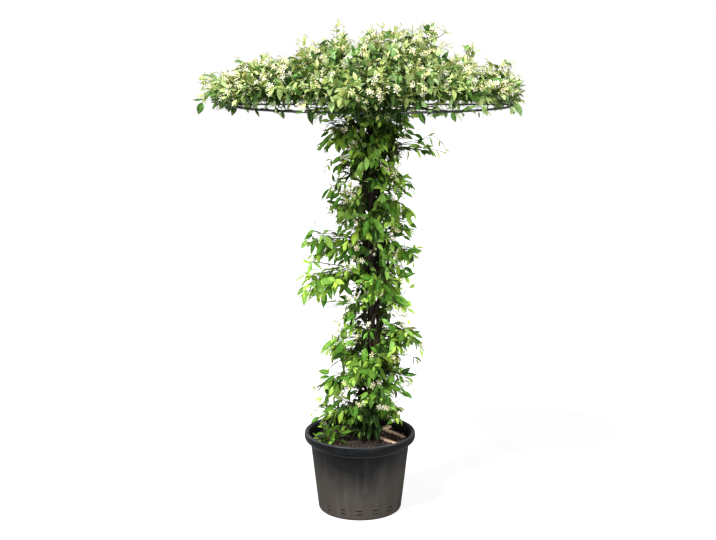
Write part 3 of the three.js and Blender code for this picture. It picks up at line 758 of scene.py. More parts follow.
def make_pot():
    outside = [(0, 0.0022), (0.150, 0.0022), (0.158, 0), (0.1745, 0), (0.1810, 0.0012), (0.1850, 0.0042),
               (0.1872, 0.009)]
    outside += [(outer_radius(h), h) for h in np.linspace(0.014, 0.303, 22)]
    outside += [(0.2226, 0.3078), (0.2262, 0.3112), (0.2318, 0.3148), (0.2385, 0.3190), (0.2435, 0.3236),
                (0.2470, 0.3286), (0.2491, 0.3336), (0.2500, 0.3392), (0.2500, 0.3450), (0.2496, 0.3510),
                (0.2484, 0.3556), (0.2465, 0.3586), (0.2440, 0.3600)]
    inside = [(0.2410, 0.3602), (0.2372, 0.3595), (0.2333, 0.3577), (0.2298, 0.3545), (0.2268, 0.3500),
              (0.2246, 0.3445), (0.2230, 0.3380), (0.2217, 0.3310)]
    inside += [(outer_radius(h) - WALL, h) for h in np.linspace(0.320, 0.020, 14)]
    inside += [(0.1780, 0.0085), (0.1700, 0.006), (0, 0.006)]
    body = Body()
    lathe(body, outside + inside, 144)
    pot = body.make("pot_shell", [pot_material()])
    # Drainage slots with round ends, in two rows of 16
    cutter = Body()
    straight, end, corners, slots = 0.011, 0.003, 12, 16
    row = np.arange(corners)
    for height in (0.030, 0.047):
        for column in range(slots):
            away = heading(math.radians(-91 + 360 / slots * column))
            points = []
            for depth in (-0.02, 0.02):
                for turn in 2 * math.pi * row / corners:
                    c = math.cos(turn)
                    across = straight * np.sign(c) * (abs(c) > 0.01) + end * c
                    spot = away * (outer_radius(height) + depth) + sideways(away) * across
                    points.append(spot + UP * (height + end * math.sin(turn)))
            caps = [(0, i + 1, i) for i in row[1:-1]]
            caps += [(corners, corners + i, corners + i + 1) for i in row[1:-1]]
            cutter.add(points, [caps, band(row, row + corners)], 0)
    cut_out(pot, cutter.make("slot_tool", []))
    pot.data.set_sharp_from_angle(angle=0.7)
    settle(pot, ["pot"])


def make_soil():
    rng = np.random.default_rng(5)
    body = Body()
    sides, rings = 120, 40
    angles = 2 * math.pi * np.arange(sides) / sides
    edge = outer_radius(SOIL_Z) - SOIL_GAP
    bumps = [(rng.uniform(20, 160, 2), rng.uniform(0, 6.3), rng.uniform(0.4, 1.0)) for _ in range(14)]

    def top_of(x, y, radius):
        lift = 0.0
        for wave, phase, size in bumps:
            lift = lift + size * np.sin(wave[0] * x + wave[1] * y + phase) / (1 + np.linalg.norm(wave) / 50)
        return SOIL_Z + 0.006 * (1 - radius / edge) + 0.0022 * lift

    points, rows = [], []
    flank = ((0.172, SOIL_FOOT), (0.183, 0.0135), (outer_radius(0.2) - SOIL_GAP, 0.2), (edge, SOIL_Z - 0.004))
    for radius, height in flank:
        rows.append(len(points) + np.arange(sides))
        points += [(radius * math.cos(a), radius * math.sin(a), height) for a in angles]
    for radius in (edge * np.linspace(1, 0, rings) ** 0.9)[1:-1]:
        rows.append(len(points) + np.arange(sides))
        x, y = radius * np.cos(angles), radius * np.sin(angles)
        points += list(zip(x, y, top_of(x, y, radius) + 0.0012 * rng.normal(size=sides)))
    top, bottom = len(points), len(points) + 1
    points += [(0, 0, SOIL_Z + 0.007), (0, 0, SOIL_FOOT)]
    tris = [(a, b, top) for a, b in around(rows[-1])] + [(b, a, bottom) for a, b in around(rows[0])]
    body.add(points, [tris, band(np.array(rows[:-1]), np.array(rows[1:]))], 0)
    # Bark bits: flat uneven chips that lie at all angles on the mix
    square = ((-1, -1), (1, -1), (1, 1), (-1, 1))
    box = np.array([(a, b, c) for c in (-1, 1) for a, b in square], float)
    faces = [(0, 3, 2, 1), (4, 5, 6, 7), (0, 1, 5, 4), (1, 2, 6, 5), (2, 3, 7, 6), (3, 0, 4, 7)]
    for _ in range(620):
        radius, angle = edge * 0.97 * math.sqrt(rng.random()), 6.3 * rng.random()
        x, y = radius * math.cos(angle), radius * math.sin(angle)
        size = rng.uniform(0.003, 0.011) * np.array([1.0, rng.uniform(0.35, 0.8), rng.uniform(0.15, 0.4)])
        turn = Euler((rng.normal() * 0.35, rng.normal() * 0.35, 6.3 * rng.random())).to_matrix()
        corners = box * (size * (0.72 + 0.5 * rng.random((8, 3))))
        middle = [x, y, float(top_of(x, y, radius)) + 0.4 * size[2]]
        body.add(np.array([turn @ Vector(c) for c in corners]) + middle, [faces], 1, tone=rng.random())
    soil = body.make("potting_mix", [soil_material(), chip_material()])
    settle(soil, ["soil"])


def make_laths():
    """Sawn laths with broken arrises, uneven along their edges."""
    rng = np.random.default_rng(9)
    wood = [wood_material("pale_pine", 0.3), wood_material("mossy_pine", 1.2)]
    half, thick, broken = 0.010, 0.010, 0.0013
    section = [(-half + broken, 0), (half - broken, 0), (half, broken), (half, thick - broken),
               (half - broken, thick), (-half + broken, thick), (-half, thick - broken), (-half, broken)]
    places = [((0.053, 0.0605), (0.165, -0.0825), 0), ((0.114, 0.134), (0.203, 0.014), 0),
              ((0.046, 0.059), (0.140, 0.150), 1)]
    corners, cuts = len(section), 15
    last = corners * (cuts - 1)
    for number, (start, end, layer) in enumerate(places):
        start, end = np.array(start), np.array(end)
        length = np.linalg.norm(end - start)
        along = (end - start) / length
        aside = np.array([-along[1], along[0]])
        bottom = SOIL_Z + JOINT_GAP + layer * 0.0103
        body, rings = Body(), []
        for step in np.linspace(0, 1, cuts):
            middle = start + along * length * step
            wear = 1 - 0.05 * rng.random((corners, 2))
            worn = [(s * w[0], z * w[1]) for (s, z), w in zip(section, wear)]
            rings.append([(*(middle + aside * s), bottom + z) for s, z in worn])
        index = np.arange(cuts * corners).reshape(cuts, corners)
        caps = [(0, i, i + 1) for i in range(1, corners - 1)]
        caps += [(last, last + i + 1, last + i) for i in range(1, corners - 1)]
        body.add(np.concatenate(rings), [caps, band(index[:-1], index[1:])[:, [0, 3, 2, 1]]], 0)
        lath = body.make(f"lath_{number + 1}_wood", [wood[layer]])
        lath.data.set_sharp_from_angle(angle=0.6)
        settle(lath, [f"lath_{number + 1}"])


# ---------------------------------------------------------------- stake, umbrella frame and stems
def stem_point(stem, height):
    """A point on a stem's axis. The stems twine round the stake and open out between the spokes."""
    rise = (height - STEM_LOW) / (STEM_HIGH - STEM_LOW)
    wander = 0.004 * abs(math.sin(rise * 17 + stem * 2.1))
    opening = 0.036 * max(0.0, (rise - 0.84) / 0.16) ** 1.5
    radius = STAKE_RADIUS + 0.008 + 0.005 + wander + 0.006 * math.exp(-rise * 16) + opening
    turns = stem / 3 + (height - FRAME_Z) / STEM_PITCH + 0.5 / 6
    angle = 2 * math.pi * turns
    return np.array([STAKE_X + radius * math.cos(angle), radius * math.sin(angle), height])


def make_frame():
    rng = np.random.default_rng(12)
    rod = rod_material()
    ring, points, sides, steps = Body(), [], 10, 180
    for turn in np.linspace(0, 2 * math.pi, steps + 1)[:-1]:
        for side in range(sides):
            a = 2 * math.pi * side / sides
            reach = RING_RADIUS + RING_ROD * math.cos(a)
            spot = STAKE_X + reach * math.cos(turn), reach * math.sin(turn), FRAME_Z + RING_ROD * math.sin(a)
            points.append(spot)
    index = np.arange(steps * sides).reshape(steps, sides)
    ring.add(points, [band(index, np.roll(index, -1, axis=0))[:, [0, 3, 2, 1]]], 0)
    settle(ring.make("umbrella_ring", [rod]), ["ring"])
    for spoke in range(6):
        away = heading(2 * math.pi * spoke / 6)
        middle = np.array([STAKE_X, 0, FRAME_TOP - SPOKE_ROD])
        reach = np.linspace(HUB_RADIUS + JOINT_GAP, RING_RADIUS - RING_ROD - JOINT_GAP, 12)
        radii = SPOKE_ROD * (1 - 0.05 * rng.random(len(reach)))
        body = Body()
        tube(body, [middle + away * r for r in reach], radii, 12, slot=0)
        settle(body.make(f"umbrella_spoke_{spoke + 1}", [rod]), [f"spoke_{spoke + 1}"])
    plate = Body()
    top, low, edge = FRAME_TOP, FRAME_TOP - HUB_THICKNESS, 0.0012
    lathe(plate, [(0, low), (HUB_RADIUS - edge, low), (HUB_RADIUS, low + edge), (HUB_RADIUS, top - edge),
                  (HUB_RADIUS - edge, top), (0.012, top), (0.010, top - 0.0015), (0, top - 0.0015)], 48)
    plate.verts[0][:, 0] += STAKE_X
    hub = plate.make("umbrella_plate", [rod])
    hub.data.set_sharp_from_angle(angle=0.6)
    settle(hub, ["hub_plate"])
    stake = Body()
    heights = np.linspace(0.007, FRAME_TOP - HUB_THICKNESS - JOINT_GAP, 60)
    radii = STAKE_RADIUS * (1 - 0.03 * rng.random(len(heights)))
    tube(stake, [(STAKE_X, 0, h) for h in heights], radii, 20, slot=0, rough=0.05, rng=rng)
    settle(stake.make("stake_pole", [stake_wood]), ["stake"])
    for stem in range(3):
        body = Body()
        path = [stem_point(stem, h) for h in np.linspace(STEM_LOW, STEM_HIGH, 190)]
        share = np.linspace(0, 1, len(path))
        knots = 1 + 0.13 * np.exp(-((((share * 31 + stem * 0.4) % 1) - 0.5) ** 2) / 0.006)
        tube(body, path, (0.008 - 0.0025 * share) * knots * 0.96, 9, slot=0, rough=0.14, rng=rng)
        settle(body.make(f"stem_{stem + 1}_bark", [bark]), [f"stem_{stem + 1}"])


# ---------------------------------------------------------------- head
# Height of the leafy top over the frame, from the left of the plant to the right
TOP_X = [-0.70, -0.65, -0.57, -0.49, -0.42, -0.34, -0.26, -0.19, -0.11, -0.03, 0.04, 0.12, 0.20, 0.27, 0.32,
         0.37, 0.43, 0.48, 0.53, 0.58, 0.63, 0.68]
TOP_H = [0.01, 0.11, 0.12, 0.16, 0.18, 0.18, 0.21, 0.24, 0.28, 0.24, 0.28, 0.31, 0.295, 0.30, 0.25,
         0.215, 0.20, 0.16, 0.13, 0.135, 0.135, 0.09]
# Single shoots that stand out of the top, in mm: place along X and Y, and height over the frame
PEAKS = [
    (-665, -20, 120), (-510, 40, 185), (-405, -30, 205), (-240, 50, 275), (-187, -60, 260), (-100, 0, 340),
    (-75, 50, 305), (43, -40, 310), (95, 30, 335), (150, -50, 320), (225, 40, 315), (275, -30, 335),
    (302, 20, 330), (466, 30, 250), (549, -30, 155), (625, 30, 172), (675, 0, 110),
]


def head_reach(angle):
    """How far the head reaches from its middle at an angle."""
    return 0.665 + 0.02 * math.sin(3 * angle + 1) + 0.015 * math.sin(7 * angle)


def head_height(x, y):
    """The height of the leafy top over the frame at a place."""
    half = math.sqrt(max(1e-4, 0.70**2 - (x - HEAD_X) ** 2))
    return float(np.interp(x, TOP_X, TOP_H)) * max(0.1, 1 - (abs(y) / half) ** 2) ** 0.55


def head_floor(x, y):
    """The leafy underside lies on the frame near the column, and stands clear of it beside and in front."""
    low = FRAME_Z - 0.014 + 0.044 * max(0.0, -y / RING_RADIUS)
    clear = FRAME_Z + 0.033 - 0.047 * y
    beside = abs(x - STAKE_X)
    share = min(1.0, max(0.0, (beside - 0.12) / 0.10)) * min(1.0, max(0.0, (0.60 - beside) / 0.05))
    return low + share * max(0.0, clear - low)


def shaded(x, y, height, mood):
    """Whether a twig gets dark leaves as painted shade: low over the column in front, or in the left
    shoulder.
    """
    over_column = 0.0 < x < 0.29 and y < -0.22 and height < 0.115 and mood < 0.8
    shoulder = -0.42 < x < -0.26 and y < -0.15 and mood < 0.45
    return over_column or shoulder


def head_node(x, y):
    """The frame's node for a place in the head."""
    reach, angle = math.hypot(x - HEAD_X, y), math.atan2(y, x - HEAD_X) % (2 * math.pi)
    if reach < 0.19:
        return "head_crown"
    if reach < 0.415:
        return f"head_middle_{int(round(angle / (math.pi / 3))) % 6 + 1}"
    return f"head_edge_{int(angle / (math.pi / 6)) % 12 + 1}"


def left_out(number, turn):
    """Whether a shoot on the ring is left out: three of four in front and every other one behind."""
    return math.sin(turn) < -0.15 and number % 4 or math.sin(turn) > 0.3 and number % 2


# Single leaves of the head, in mm: base, then the tip's place along X and its height.
# Then tone, youth and width in percent
RIM_LEAVES = [
    (-669, -50, 1834, -689, 1779, 40, 5, 60), (-663, -50, 1846, -714, 1842, 60, 15, 24),
    (-562, -50, 1849, -560, 1790, 35, 5, 66), (-584, -50, 1881, -663, 1855, 70, 25, 30),
    (-613, -50, 1837, -624, 1799, 50, 10, 40), (-584, -50, 1901, -634, 1874, 80, 30, 36),
    (-425, -372, 1830, -402, 1789, 15, 0, 34), (-401, -401, 1851, -434, 1847, 88, 50, 60),
    (-310, -485, 1823, -298, 1789, 20, 0, 60), (-212, -544, 1823, -257, 1815, 30, 0, 34),
    (-192, -553, 1836, -183, 1768, 12, 0, 52), (-154, -568, 1826, -128, 1808, 45, 5, 50),
    (-281, -505, 1843, -286, 1894, 85, 40, 50), (-226, -537, 1878, -255, 1920, 40, 5, 50),
    (-530, -164, 1825, -527, 1790, 15, 0, 30), (212, -582, 1860, 231, 1827, 15, 0, 60),
    (226, -578, 1825, 249, 1774, 20, 0, 50), (327, -537, 1816, 267, 1802, 35, 5, 26),
    (355, -522, 1821, 372, 1779, 30, 5, 56), (470, -435, 1816, 471, 1788, 15, 0, 30),
    (494, -410, 1844, 490, 1801, 92, 45, 66), (565, -317, 1842, 571, 1810, 12, 0, 34),
    (652, -78, 1834, 685, 1771, 85, 25, 52), (466, -439, 1839, 397, 1821, 92, 50, 22),
    (361, -519, 1878, 348, 1836, 92, 55, 40), (232, -576, 1864, 257, 1840, 85, 30, 50),
]
TOP_LEAVES = [
    (294, -20, 2127, 265, 2166, 40, 20, 60), (294, -20, 2132, 316, 2168, 70, 30, 40),
    (220, -20, 2114, 165, 2127, 85, 30, 30), (216, -20, 2096, 230, 2042, 30, 0, 50),
    (69, -20, 2136, 9, 2096, 70, 10, 40), (41, -20, 2127, 27, 2087, 50, 5, 60),
    (142, -500, 1968, 142, 1877, 60, 5, 26), (139, -450, 1959, 114, 1951, 75, 20, 50),
    (161, -450, 1963, 148, 1917, 80, 30, 50), (447, -400, 1915, 472, 1890, 12, 0, 60),
    (427, -200, 2022, 418, 1996, 55, 10, 60), (458, -100, 2074, 434, 2051, 85, 50, 60),
    (649, 0, 1982, 619, 2000, 60, 20, 30), (674, -100, 1930, 656, 1895, 60, 25, 60),
    (-493, -20, 1998, -538, 2006, 60, 10, 34), (-401, -20, 2003, -427, 2033, 50, 15, 50),
    (-359, -20, 2005, -400, 1983, 60, 10, 44), (-626, 0, 1936, -681, 1946, 75, 30, 24),
    (-78, 0, 2091, -48, 2122, 30, 5, 40), (-244, -400, 1966, -266, 1932, 15, 0, 60),
    (-219, -400, 1923, -261, 1941, 20, 0, 50), (-404, -350, 1921, -438, 1905, 20, 0, 50),
    (-456, -350, 1913, -473, 1879, 20, 0, 55), (-187, -450, 1921, -166, 1892, 10, 0, 60),
    (136, -100, 2065, 117, 2087, 30, 5, 50), (256, -50, 2109, 249, 2078, 35, 5, 55),
    (350, -10, 2000, 378, 2048, 60, 25, 44), (-20, -10, 2030, -38, 2076, 70, 30, 40),
]


def single_leaves(rows, forward, rng, body_at, facing, root_of):
    """Leaves on thin stalks at set places, with their tips so many mm in front of their bases."""
    for x, y, z, tip_x, tip_z, tone, youth, width in rows:
        base, tip = np.array([x, y, z]) / 1000, np.array([tip_x, y - forward, tip_z]) / 1000
        face = np.asarray(facing) + 0.28 * rng.normal(size=3)
        length, curl = np.linalg.norm(tip - base), 0.2 + 0.4 * rng.random()
        run = (tip - base) / length
        run = run + 0.5 * curl * unit(face - run * np.dot(face, run))
        body = body_at(base)
        youth, tone, width = 0.0036 * youth, 0.11 + 0.0056 * tone, 0.0085 * width
        add_leaf(body, rng, base, run, face, length, youth, tone, 5, curl, width, folded=0.28, kept=True)
        stalk(body, bow(root_of(base), base, 6, 0.012))


# How many twigs fill the head, shoots bow over its rim, large leaves lie on it, leaves hang under its back,
# bare tips curl out of it and runners lie on the frame. Then twigs by the spokes and the ring
FILLING, RIM_SHOOTS, TOP_COVER, HANGING, BARE_TIPS, RUNNERS = 1120, 40, 120, 14, 46, 30
SPOKE_TWIGS, RING_SHOOTS, SHORT_TWIGS, FRONT_TWIGS = 96, 20, 64, 18


def make_head():
    rng = np.random.default_rng(2024)
    bodies = {}

    def body_at(x, y):
        return bodies.setdefault(head_node(x, y), Body())

    # Twigs that fill the head from the frame up to its leafy top
    for _ in range(FILLING):
        angle = 2 * math.pi * rng.random()
        away = heading(angle)
        reach = head_reach(angle) * math.sqrt(rng.random())
        x, y = HEAD_X + reach * away[0], reach * away[1]
        height, low = head_height(x, y), head_floor(x, y)
        share = 1 - 0.85 * rng.random() ** 1.35
        tip = np.array([x, y, max(FRAME_Z + height * share * (0.94 + 0.1 * rng.random()), low + 0.03)])
        root = np.array([HEAD_X, 0, 0]) + away * reach * (0.80 + 0.14 * rng.random())
        root[2] = low + 0.3 * (tip[2] - low) * rng.random()
        root[:2] += 0.02 * rng.normal(size=2)
        bend = 0.5 * (root + tip) + away * 0.02 * rng.normal() + UP * 0.02 * rng.normal() - away * 0.015
        mood = rng.random()
        youth = 0.05 + 0.42 * share**2 * mood + (0.22 if mood > 0.8 else 0)
        showy = (0.55 if x < 0 else 1.0) * share**2
        bloom = int(rng.integers(2, 6)) if rng.random() < 0.10 + 0.42 * showy else 0
        # Leaves lower in the head get darker tones, for older leaves and painted shade; some twigs, more of
        # them low down, and those that shaded() picks get dark leaves only, as painted shade
        shades = (0.15 * share, 0.15 + 0.85 * share)
        if rng.random() < 0.34 - 0.20 * share or shaded(x, y, tip[2] - FRAME_Z, mood):
            youth, shades = 0.02, (0.0, 0.26)
        grow(body_at(x, y), rng, bezier(root, bend, tip, 6), 4, 0.062, youth=youth, droop=0.25, bloom=bloom,
             tone=shades, width=0.39, floor=low - (0.03 if rng.random() < 0.12 else 0))
    # Shoots over the rim that bow down outside the ring
    for number in range(RIM_SHOOTS):
        away = heading(2 * math.pi * (number + 0.8 * rng.random()) / RIM_SHOOTS)
        front = max(0.0, -away[1]) * (number % 4 > 0)
        start = np.array([HEAD_X, 0, FRAME_Z + 0.04 + 0.03 * front + 0.04 * rng.random()]) + away * 0.54
        out = 0.085 + 0.06 * rng.random() - 0.03 * max(0.0, away[0])
        end = start + away * out + sideways(away) * 0.05 * rng.normal()
        end = end + UP * (0.02 - 0.06 * rng.random() * (1 - 0.6 * front))
        bloom = int(rng.integers(2, 6)) if rng.random() < 0.4 else 0
        grow(body_at(*start[:2]), rng, bow(start, end, 6, 0.03), 3, 0.060, youth=0.15 + 0.3 * rng.random(),
             droop=0.3, bloom=bloom, floor=FRAME_Z - 0.01 + 0.062 * front)
    # Single leaves at measured places
    def body_of(base):
        return body_at(0.96 * base[0], 0.96 * base[1])

    picks = np.random.default_rng(515)
    for rows, forward, facing, inward, rise in ((RIM_LEAVES, 8, (0.0, -1.0, 0.35), [0.94, 0.94, 1], 0.03),
                                                (TOP_LEAVES, 10, (0.0, -0.9, 0.6), [0.97, 0.9, 1], -0.04)):
        single_leaves(rows, forward, picks, body_of, facing, lambda base: base * inward + rise * UP)
    # Large leaves that lie over the top
    for _ in range(TOP_COVER):
        angle, reach = 2 * math.pi * picks.random(), 0.58 * math.sqrt(picks.random())
        away = heading(angle)
        base = np.array([HEAD_X, 0, 0]) + away * reach
        base[2] = FRAME_Z + head_height(base[0], base[1]) * picks.uniform(0.80, 0.98)
        if base[2] < head_floor(base[0], base[1]) + 0.05:
            continue
        run = away * picks.uniform(0.3, 1.0) + 0.6 * sideways(away) * picks.normal()
        run = run + UP * picks.uniform(-0.6, 0.2)
        face = UP + 0.7 * away + 0.35 * picks.normal(size=3)
        body = body_at(base[0], base[1])
        length, youth, tone = picks.uniform(0.068, 0.088), 0.12 * picks.random(), 0.12 + 0.55 * picks.random()
        add_leaf(body, picks, base, run, face, length, youth, tone, 5, width=0.44)
        stalk(body, bezier(base - 0.02 * away - 0.035 * UP, base - 0.01 * away - 0.01 * UP, base, 5))
    # Leaves that hang under the ring behind, some with a second one beside them
    spots = [(number + rng.random(), 0.045 + 0.02 * rng.random()) for number in range(HANGING)]
    for place, size in spots:
        angle = math.pi * place / HANGING
        x, y = STAKE_X + RING_RADIUS * math.cos(angle), RING_RADIUS * math.sin(angle)
        out = unit(np.array([x - STAKE_X, y, 0.0]))
        point = np.array([x, y, FRAME_Z + 0.004]) - 0.01 * out
        body = body_at(*(point[:2] * 0.95))
        down = unit(0.25 * out - UP + 0.33 * rng.normal(size=3))
        face = out + 0.65 * rng.normal(size=3)
        youth, tone = 0.2 * (0.4 + rng.random()), 0.5 * (0.35 + 0.65 * rng.random())
        add_leaf(body, rng, point, down, face, size, youth, tone, 5, 0.25 + 0.6 * rng.random(), 0.47)
        if rng.random() < 0.5:
            along = sideways(out) * rng.choice([-1, 1]) + 0.2 * rng.normal(size=3) - 0.3 * UP
            add_leaf(body, rng, point, along, out + 0.5 * UP, 0.8 * size, 0.35, 0.8, 5)
        stalk(body, bezier(point + 0.05 * UP - 0.03 * out, point + 0.03 * UP, point, 5), 0.0012)
    # The two ends of the head, with their longest shoots
    for side, reach, rise in ((-1, -0.690, 0.035), (-1, -0.675, 0.085), (1, 0.695, 0.055), (1, 0.680, 0.015)):
        root = np.array([side * 0.54, 0.02 * side, FRAME_Z + 0.05])
        tip = np.array([reach, 0.01, FRAME_Z + rise])
        grow(body_at(*root[:2]), rng, bow(root, tip, 8, 0.03), 3, 0.058, start=0.3, youth=0.3, droop=0.3,
             across=5, floor=FRAME_Z)
    # Rising shoots that make the peaks of the outline
    for x, y, height in metres(PEAKS):
        tip = np.array([x, y, FRAME_Z + height - 0.012])
        sway = 0.035 * rng.normal()
        foot = x + sway - 0.2 * (x - STAKE_X) * (height < 0.2)
        root = np.array([foot, y, FRAME_Z + max(0.04, 0.45 * height)])
        path = bow(root, tip, 9, sway=np.array([-0.4 * sway, 0.02 * rng.normal(), 0.02]))
        body = body_at(*root[:2])
        grow(body, rng, path, 4, 0.056, start=0.3, youth=0.35, droop=0.1, bloom=3, across=5)
        for _ in range(2):
            middle = path[int(rng.integers(3, 6))]
            lean = middle + np.array([0.03 * rng.normal(), 0.04 * rng.normal(), 0.02 + 0.02 * rng.random()])
            grow(body, rng, bow(middle, lean, 6, sway=0.01 * rng.normal(size=3)), 3, 0.052, youth=0.4,
                 droop=0.1, bloom=3)
    # Bare young tips that curl out of the top, each with a last small pair of leaves
    for _ in range(BARE_TIPS):
        angle, reach = 2 * math.pi * rng.random(), 0.62 * math.sqrt(rng.random())
        x, y = HEAD_X + reach * math.cos(angle), reach * math.sin(angle)
        height = head_height(x, y)
        base = np.array([x, y, FRAME_Z + 0.8 * height])
        aside = unit(np.array([rng.normal(), rng.normal(), 0.0]))
        top = base + aside * (0.03 + 0.04 * rng.random()) + UP * (0.02 + (0.1 + 0.16 * rng.random()) * height)
        curl = top + aside * 0.035 - UP * 0.012 * rng.random()
        path = np.concatenate([bow(base, top, 8, sway=0.012 * rng.normal(size=3))[:-1],
                               bezier(top, top + aside * 0.015 + UP * 0.008, curl, 5)])
        grow(body_at(x, y), rng, path, 2, 0.036, start=0.72, radius=0.0012, youth=0.6, droop=0.1, width=0.36)
    # Woody runners that lie on the frame from the stems to the rim
    for number in range(RUNNERS):
        away = heading(2 * math.pi * (number + 0.6 * rng.random()) / RUNNERS)
        steps = np.linspace(0.05, 0.585, 14)
        sway = 0.02 * rng.normal() * np.sin(steps * 9 + 6 * rng.random())
        path = []
        for s, w in zip(steps, sway):
            height = FRAME_TOP + 0.006 + 0.014 * abs(math.sin(9 * s + number)) + 0.075 * s
            middle = np.array([STAKE_X * (1 - s) + HEAD_X * s, 0, height])
            path.append(middle + away * s + sideways(away) * w)
        tube(body_at(*(path[7][:2])), path, np.linspace(0.0036, 0.0014, len(path)), 5, tone=0.05)
    # Leafy twigs that wind along the spokes
    for number in range(SPOKE_TWIGS):
        if number % 3 and number // 6 % 2:
            continue
        away = heading(math.pi / 3 * (number % 6))
        aside = sideways(away) * rng.choice([-1, 1])
        reach = 0.06 + 0.5 * (number // 6 + rng.random()) / 16
        start = np.array([STAKE_X, 0, FRAME_TOP + 0.002]) + away * reach
        end = start + away * 0.03 + aside * (0.02 + 0.02 * rng.random()) + UP * rng.uniform(-0.012, 0.02)
        grow(body_at(*start[:2]), rng, bow(start, end, 5, 0.01), 2, 0.044, youth=0.2, droop=0.2,
             tone=(0.1, 0.9), floor=FRAME_Z - 0.016)
    # Shoots that wind along the ring, few of them in front
    for number in range(RING_SHOOTS):
        start = 2 * math.pi * (number + 0.5 * rng.random()) / RING_SHOOTS
        if left_out(number, start + 0.16):
            continue
        turns, twist = start + np.linspace(0, 0.32, 16), np.linspace(0, 9, 16)
        reach, height = RING_RADIUS + 0.0075 * np.cos(twist), FRAME_Z + 0.0075 * np.sin(twist)
        path = np.stack([STAKE_X + reach * np.cos(turns), reach * np.sin(turns), height], axis=1)
        grow(body_at(*(path[8][:2] * 0.97)), rng, path, 4, 0.050, start=0.2, youth=0.3 * rng.random(),
             droop=0.1, floor=FRAME_Z - 0.02)
    # Short twigs that cross the ring, with dark ones that hang where the column meets the front, their dark
    # tone painted shade under the head
    turns = [2 * math.pi * (number + rng.random()) / SHORT_TWIGS for number in range(SHORT_TWIGS)]
    turns += [math.radians(258 + 1.4 * number + rng.random()) for number in range(FRONT_TWIGS)]
    for number, angle in enumerate(turns):
        hanging = number >= SHORT_TWIGS
        if not hanging and left_out(number, angle):
            continue
        away = heading(angle)
        aside = sideways(away) * rng.choice([-1, 1])
        start = np.array([STAKE_X, 0, FRAME_Z + 0.012]) + away * (RING_RADIUS - 0.012)
        end = start + away * rng.uniform(0.01, 0.03) + aside * rng.uniform(0.02, 0.05)
        end = end + UP * rng.uniform(-0.025, 0.02)
        looks = {"youth": 0.02, "droop": 0.9, "tone": (0.0, 0.1), "floor": FRAME_Z - 0.045}
        if not hanging:
            looks = {"youth": 0.5 * rng.random(), "droop": 0.1, "tone": (0.1, 0.9), "floor": FRAME_Z - 0.012}
        grow(body_at(*(start[:2] * 0.97)), rng, bow(start, end, 5, 0.012), 2, 0.050, across=5, **looks)
    for node, body in sorted(bodies.items()):
        settle(body.make(node + "_spray", HEAD_LOOK), [node])


# ---------------------------------------------------------------- column
# The leafy shoots: height in metres and azimuth in degrees of the root, then reach, rise and droop in metres
COLUMN_SHOOTS = [
    (1.650, 200, 0.135, 0.010, 0.070), (1.420, 165, 0.145, 0.030, 0.050), (1.190, 178, 0.225, 0.070, 0.060),
    (1.030, 192, 0.245, 0.040, 0.070), (0.800, 160, 0.155, 0.020, 0.060), (0.650, 200, 0.175, 0.030, 0.060),
    (0.500, 172, 0.170, 0.030, 0.060), (1.520, 22, 0.125, 0.040, 0.050), (1.350, -28, 0.140, 0.030, 0.060),
    (1.190, 12, 0.150, 0.040, 0.050), (1.010, -20, 0.130, 0.030, 0.040), (0.800, -2, 0.150, 0.050, 0.040),
    (0.640, 28, 0.140, 0.040, 0.050), (0.480, -22, 0.095, 0.040, 0.040), (1.690, 262, 0.095, 0.010, 0.060),
    (1.330, 244, 0.095, 0.020, 0.050), (1.070, 285, 0.090, 0.030, 0.060), (0.770, 258, 0.100, 0.020, 0.060),
    (0.590, 292, 0.100, 0.020, 0.050), (1.490, 104, 0.120, 0.030, 0.050), (1.110, 80, 0.135, 0.030, 0.060),
    (0.730, 96, 0.135, 0.030, 0.060),
]


def root_on_stem(height, azimuth):
    """The point on a stem near a height that faces an azimuth best."""
    best, point = -9.0, None
    for stem in range(3):
        for shift in range(-80, 81, 8):
            spot = stem_point(stem, height + shift / 1000)
            worth = math.cos(math.atan2(spot[1], spot[0] - STAKE_X) - azimuth) - abs(shift) / 400
            if worth > best:
                best, point = worth, spot
    return point


def shoot_path(root, azimuth, reach, rise, droop):
    """The path of a shoot that rises from its root and droops towards its tip."""
    share = np.linspace(0, 1, 9)[:, None]
    away = heading(azimuth)
    return root + away * reach * share + UP * (rise * share - droop * share**2)


# Side twigs that fill the outline, in mm: place of the tip along X, its height and half its place along Y
FILLERS = [
    (-135, 1645, 0), (-85, 1545, 10), (-95, 1490, -20), (-130, 1430, 20), (-85, 1350, -10),
    (-190, 1225, 10), (-205, 1150, -20), (-200, 1090, 20), (-120, 1170, -30), (-240, 1020, 10),
    (-160, 1000, -30), (-60, 900, 0), (-60, 850, -40), (-115, 795, 10), (-145, 735, -20), (-95, 690, 20),
    (-140, 640, 10), (-180, 565, -10), (-170, 500, 20), (-120, 450, -30), (-60, 420, -10), (150, 1600, 0),
    (170, 1490, -10), (150, 1400, 20), (200, 1325, -20), (215, 1265, 10), (165, 1215, -30), (205, 1140, 20),
    (200, 1075, -10), (160, 1010, 10), (185, 945, -20), (145, 900, 20), (175, 850, -10), (225, 775, 0),
    (215, 735, -20), (145, 690, 20), (195, 640, 10), (215, 610, -20), (190, 545, 10), (150, 510, 0),
    (110, 480, 30), (-150, 1745, 0), (-110, 1700, 20), (190, 1740, 0), (230, 1765, -20), (140, 1700, 10),
    (-190, 1765, 30), (-255, 985, 0), (-215, 965, 20), (-160, 950, -10), (-120, 930, 0), (-225, 1120, 10),
    (-225, 1070, -10), (-80, 1290, 0), (200, 1300, 10), (250, 1195, 0), (235, 800, 10), (30, 1770, -50),
    (90, 1760, -50),
]
